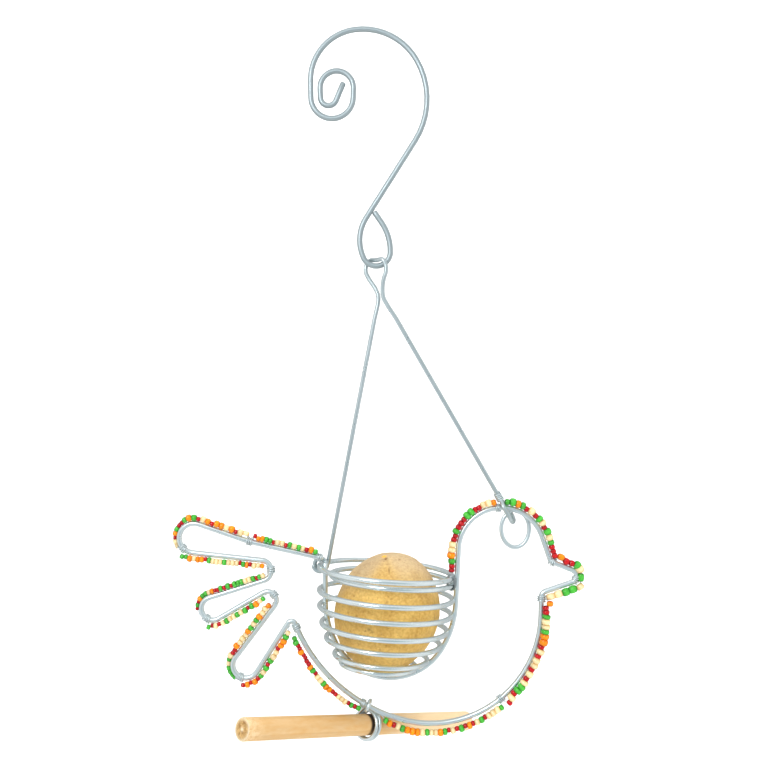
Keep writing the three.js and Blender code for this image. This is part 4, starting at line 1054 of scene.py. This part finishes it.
def makeSuetFinish(look):
    # golden fat with crumbs: mottled tan, paler top, brown specks, painted shade in the pits, crease and seam
    # with the darker husk and blotch rim, and a kernel from the tint
    material, tree, shader, link = newFinish("suet")
    hollowShadeAndStain, pale, kernel = tintMasks(tree)
    place = objectPlace(tree)
    spread, crumbs = addMottle(tree, place, look["spread"])
    specks, _ = addMottle(tree, place, look["specks"])
    tan, top = (colourBlend(tree, spread, *look[k]) for k in ("tan", "top"))
    fat = colourBlend(tree, pale, tan, top)
    fat = colourBlend(tree, dimmed(tree, specks, look["speckShare"]), fat, look["speck"])
    # painted shade in the pits, crease and seam, with the own darker colour of the husk and blotch rim
    fat = colourBlend(tree, hollowShadeAndStain, fat, look["hollowShadeAndStain"])
    link(colourBlend(tree, kernel, fat, look["kernel"]), shader.inputs["Base Color"])
    link(valueBlend(tree, crumbs, *look["rough"]), shader.inputs["Roughness"])
    shader.inputs["Subsurface Weight"].default_value = look["glow"]
    shader.inputs["Subsurface Radius"].default_value = look["glowReach"]
    addBump(tree, shader, crumbs, *look["bump"])
    return material


def makeSuet(s):
    # an egg of latitude and longitude, turned, then pressed in by lumps, crumbs, pits, a crease and a seam
    rows, columns = s["rows"], s["columns"]
    lat = np.linspace(-math.pi / 2, math.pi / 2, rows + 2)[1:-1]
    lon = np.linspace(0, 2 * math.pi, columns, endpoint=False)
    la, lo = (v.ravel() for v in np.meshgrid(lat, lon, indexing="ij"))
    la, lo = np.concatenate([la, [-math.pi / 2, math.pi / 2]]), np.concatenate([lo, [0, 0]])
    ball = np.stack([np.cos(la) * np.cos(lo), np.cos(la) * np.sin(lo), np.sin(la)], 1)
    ball = ball * (s["radius"], s["radius"], s["half"])
    tilt = s["tilt"] * deg
    skin = np.stack([ball[:, 0] * math.cos(tilt) + ball[:, 2] * math.sin(tilt), ball[:, 1],
                     ball[:, 2] * math.cos(tilt) - ball[:, 0] * math.sin(tilt)], 1)
    out = unit(skin)
    high, front = np.arcsin(out[:, 2]), np.arctan2(out[:, 0], -out[:, 1])
    towards = lambda f, h: np.array([math.sin(f) * math.cos(h), -math.cos(f) * math.cos(h), math.sin(h)])
    away = lambda way: np.arccos(np.clip(out @ unit(np.array(way)).T, -1, 1))
    lumps = sum(deep * (1 - latticeNoise(skin, scale, seed)) for deep, scale, seed in s["lumps"])
    crumbDeep, crumbScale, crumbSeed, patchScale, patchSeed = s["crumb"]
    crumb = (crumbDeep * (1 - latticeNoise(skin, crumbScale, crumbSeed))
             * latticeNoise(skin, patchScale, patchSeed))
    rng = np.random.default_rng(s["pitSeed"])
    ways = np.concatenate([unit(rng.normal(size=(s["pits"], 3))), [towards(f, h) for f, h, _ in s["spots"]]])
    wide = np.concatenate([rng.uniform(*s["pitWide"], s["pits"]), [w for _, _, w in s["spots"]]])
    deep = np.concatenate([rng.uniform(*s["pitDeep"], s["pits"]), np.full(len(s["spots"]), s["spotDeep"])])
    blotchRadius, blotchOver = s["blotchRing"]
    creaseFront, creaseHigh = s["creaseAt"]
    creaseWave, creaseWaves = s["creaseWave"]
    creaseWide, creaseTall = s["creaseSize"]
    creaseOff = front - creaseFront - creaseWave * np.sin(creaseWaves * high)
    seamWave, seamWaves = s["seamWave"]
    across = np.sin(front - s["seamAt"] - seamWave * np.sin(seamWaves * high))
    bandAt, bandOver = s["seamBand"]
    band = softSpot(high - bandAt, bandOver, 4)
    marks = {"pits": (softSpot(away(ways), wide) * deep).max(1),
             "crease": softSpot(creaseOff, creaseWide) * softSpot(high - creaseHigh, creaseTall),
             "seam": softSpot(across, s["seamWide"]) * band,
             "blotch": softSpot(away(towards(*s["blotch"])) - blotchRadius, blotchOver),
             "husk": softSpot(away(s["husk"]), s["huskWide"], 4)}
    kernel = softSpot(away(s["kernel"]), s["kernelWide"], 4)
    stepDeep, stepOver = s["step"]
    step = stepDeep * band * softStep(across, 0, stepOver)
    inset = lumps + crumb + step + sum(share * marks[k] for k, share in s["pressed"].items())
    inset = inset * (1 - s["kernelProud"] * kernel)
    centreZ = cradle["z"] - cradle["depth"] + stock["outline"] / 2 + s["seat"] + s["half"]
    verts = skin + out * (s["swell"] * (1 - out[:, 2] ** 2) - inset)[:, None] + (s["x"], s["y"], centreZ)
    goldenHigh, goldenFront, goldenOver = s["golden"]
    wanderHigh, wanderScale, wanderSeed = s["paleWander"]
    paleShare, paleHigh, paleOver = s["pale"]
    lower = goldenHigh * softSpot(front - goldenFront, goldenOver)
    lower = lower + wanderHigh * (latticeNoise(skin, wanderScale, wanderSeed) - 0.5)
    pale = paleShare * softStep(high - lower, paleHigh, paleOver)
    # painted shade in the pits, crease and seam, plus the husk's and blotch rim's own darker colour
    dark = np.clip(sum(share * marks[k] for k, share in s["shadedAndStained"].items()), 0, 1)
    cake = {"verts": verts, "quads": gridQuads(rows, columns), "tris": poleTris(rows, columns),
            "attributes": {"tint": np.stack([dark, pale, kernel, 1 + 0 * pale], 1)}}
    putMesh("suetCake", "suet", cake, makeSuetFinish(suetLook), ["suet_ball"])


makeSuet(suetShape)
print("stage 8: suet ball")

# stage, light and camera, in metres
studio = {"floorZ": -0.520, "front": -1.2, "back": 0.70, "side": 0.62, "cove": 0.35, "top": 0.62,
          "wallGap": 0.05, "floorRows": 12, "coveRows": 16, "wallRows": 6, "columns": 9,
          "tone": (0.94, 0.94, 0.935), "rough": 0.9}


def makeSweep(s):
    # a floor that curves up into a wall: a bent line carried sideways
    a = np.linspace(0, math.pi / 2, s["coveRows"])
    foot, wallFoot = s["back"] - s["cove"], s["floorZ"] + s["cove"] + s["wallGap"]
    floor = np.stack([np.linspace(s["front"], foot, s["floorRows"]), np.full(s["floorRows"], s["floorZ"])], 1)
    cove = np.stack([foot + s["cove"] * np.sin(a), s["floorZ"] + s["cove"] * (1 - np.cos(a))], 1)
    wall = np.stack([np.full(s["wallRows"], s["back"]), np.linspace(wallFoot, s["top"], s["wallRows"])], 1)
    line = np.concatenate([floor, cove[1:], wall])
    across = np.linspace(-s["side"], s["side"], s["columns"])
    verts = np.stack(np.broadcast_arrays(across[None], line[:, :1], line[:, 1:]), -1).reshape(-1, 3)
    mesh = bpy.data.meshes.new("studioSweep")
    mesh.from_pydata(verts.tolist(), [], gridQuads(len(line), s["columns"], wrapColumns=False).tolist())
    mesh.polygons.foreach_set("use_smooth", np.ones(len(mesh.polygons), bool))
    material, _, shader, _ = newFinish("studioPaper")
    shader.inputs["Base Color"].default_value = (*s["tone"], 1)
    shader.inputs["Roughness"].default_value = s["rough"]
    mesh.materials.append(material)
    sweep = bpy.data.objects.new("studioSweep", mesh)
    bpy.context.scene.collection.objects.link(sweep)
    sweep.visible_glossy = False  # bright wire would melt into the paper


makeSweep(studio)

# lamps: place, aim, size, power; only the key shows in the wire
lamps = {"key": ((-0.42, -0.90, 0.22), (0.01, 0, -0.25), 0.42, 4.8),
         "fill": ((0.75, -0.70, -0.20), (0.01, 0, -0.25), 0.6, 4.7),
         "top": ((0.05, 0.05, 0.70), (0.01, 0, -0.3), 0.7, 0.3),
         "wall": ((0.0, 0.15, 0.75), (0, 0.7, -0.2), 1.0, 9.0)}


def makeLamp(name, place, aim, size, power):
    # a square lamp turned from its place towards its aim
    data = bpy.data.lights.new(name, "AREA")
    data.energy, data.size = power, size
    lamp = bpy.data.objects.new(name, data)
    bpy.context.scene.collection.objects.link(lamp)
    lamp.location = place
    lamp.visible_glossy = name == "key"
    x, y, z = np.array(place) - np.array(aim)
    lamp.rotation_euler = (math.atan2(math.hypot(x, y), z), 0, math.atan2(x, -y))


for lampName, settings in lamps.items():
    makeLamp(lampName, *settings)

# white tent with a duller opening where the camera stands and duller gaps beside the paper
tent = {"strength": 0.88, "seen": (1.15, 1.15, 1.15),
        "stops": ((0.0, (0.47, 0.55, 0.60)), (0.09, (0.60, 0.69, 0.73)), (0.22, (1.05, 1.05, 1.05)),
                  (0.50, (1.05, 1.05, 1.05)), (0.66, (0.76, 0.79, 0.80)), (1.0, (0.54, 0.55, 0.54)))}


def makeTent(look):
    # light that changes from the front of the room to its back, plain white where the camera sees it
    world = bpy.data.worlds.new("studioTent")
    bpy.context.scene.world = world
    world.use_nodes = True
    tree = world.node_tree
    back = tree.nodes["Background"]
    back.inputs["Strength"].default_value = look["strength"]
    direction = addNode(tree, "ShaderNodeTexCoord")
    split = addNode(tree, "ShaderNodeSeparateXYZ")
    tree.links.new(direction.outputs["Generated"], split.inputs[0])
    ramp = addNode(tree, "ShaderNodeValToRGB")
    tree.links.new(valueBlend(tree, split.outputs["Y"], 0, 1, start=-1), ramp.inputs["Fac"])
    for _ in look["stops"][2:]:  # a new ramp has two stops
        ramp.color_ramp.elements.new(0.5)
    for element, (position, colour) in zip(ramp.color_ramp.elements, look["stops"]):
        element.position, element.color = position, (*colour, 1)
    seen = addNode(tree, "ShaderNodeLightPath")
    tree.links.new(colourBlend(tree, seen.outputs["Is Camera Ray"], ramp.outputs["Color"], look["seen"]),
                   back.inputs["Color"])


makeTent(tent)
bpy.context.scene.view_settings.view_transform = "Standard"

photoView = {"place": (10.3, -543.0, -201.4), "frameWide": 438.9, "sensor": 36.0, "clip": (0.01, 20)}
cameraData = bpy.data.cameras.new("photoCamera")
cameraData.sensor_width = photoView["sensor"]
cameraData.lens = photoView["sensor"] * -photoView["place"][1] / photoView["frameWide"]
cameraData.clip_start, cameraData.clip_end = photoView["clip"]
camera = bpy.data.objects.new("photoCamera", cameraData)
camera.location = [v * mm for v in photoView["place"]]
camera.rotation_euler = (math.pi / 2, 0, 0)
bpy.context.scene.collection.objects.link(camera)
bpy.context.scene.camera = camera
print("stage 9: studio, light and camera")
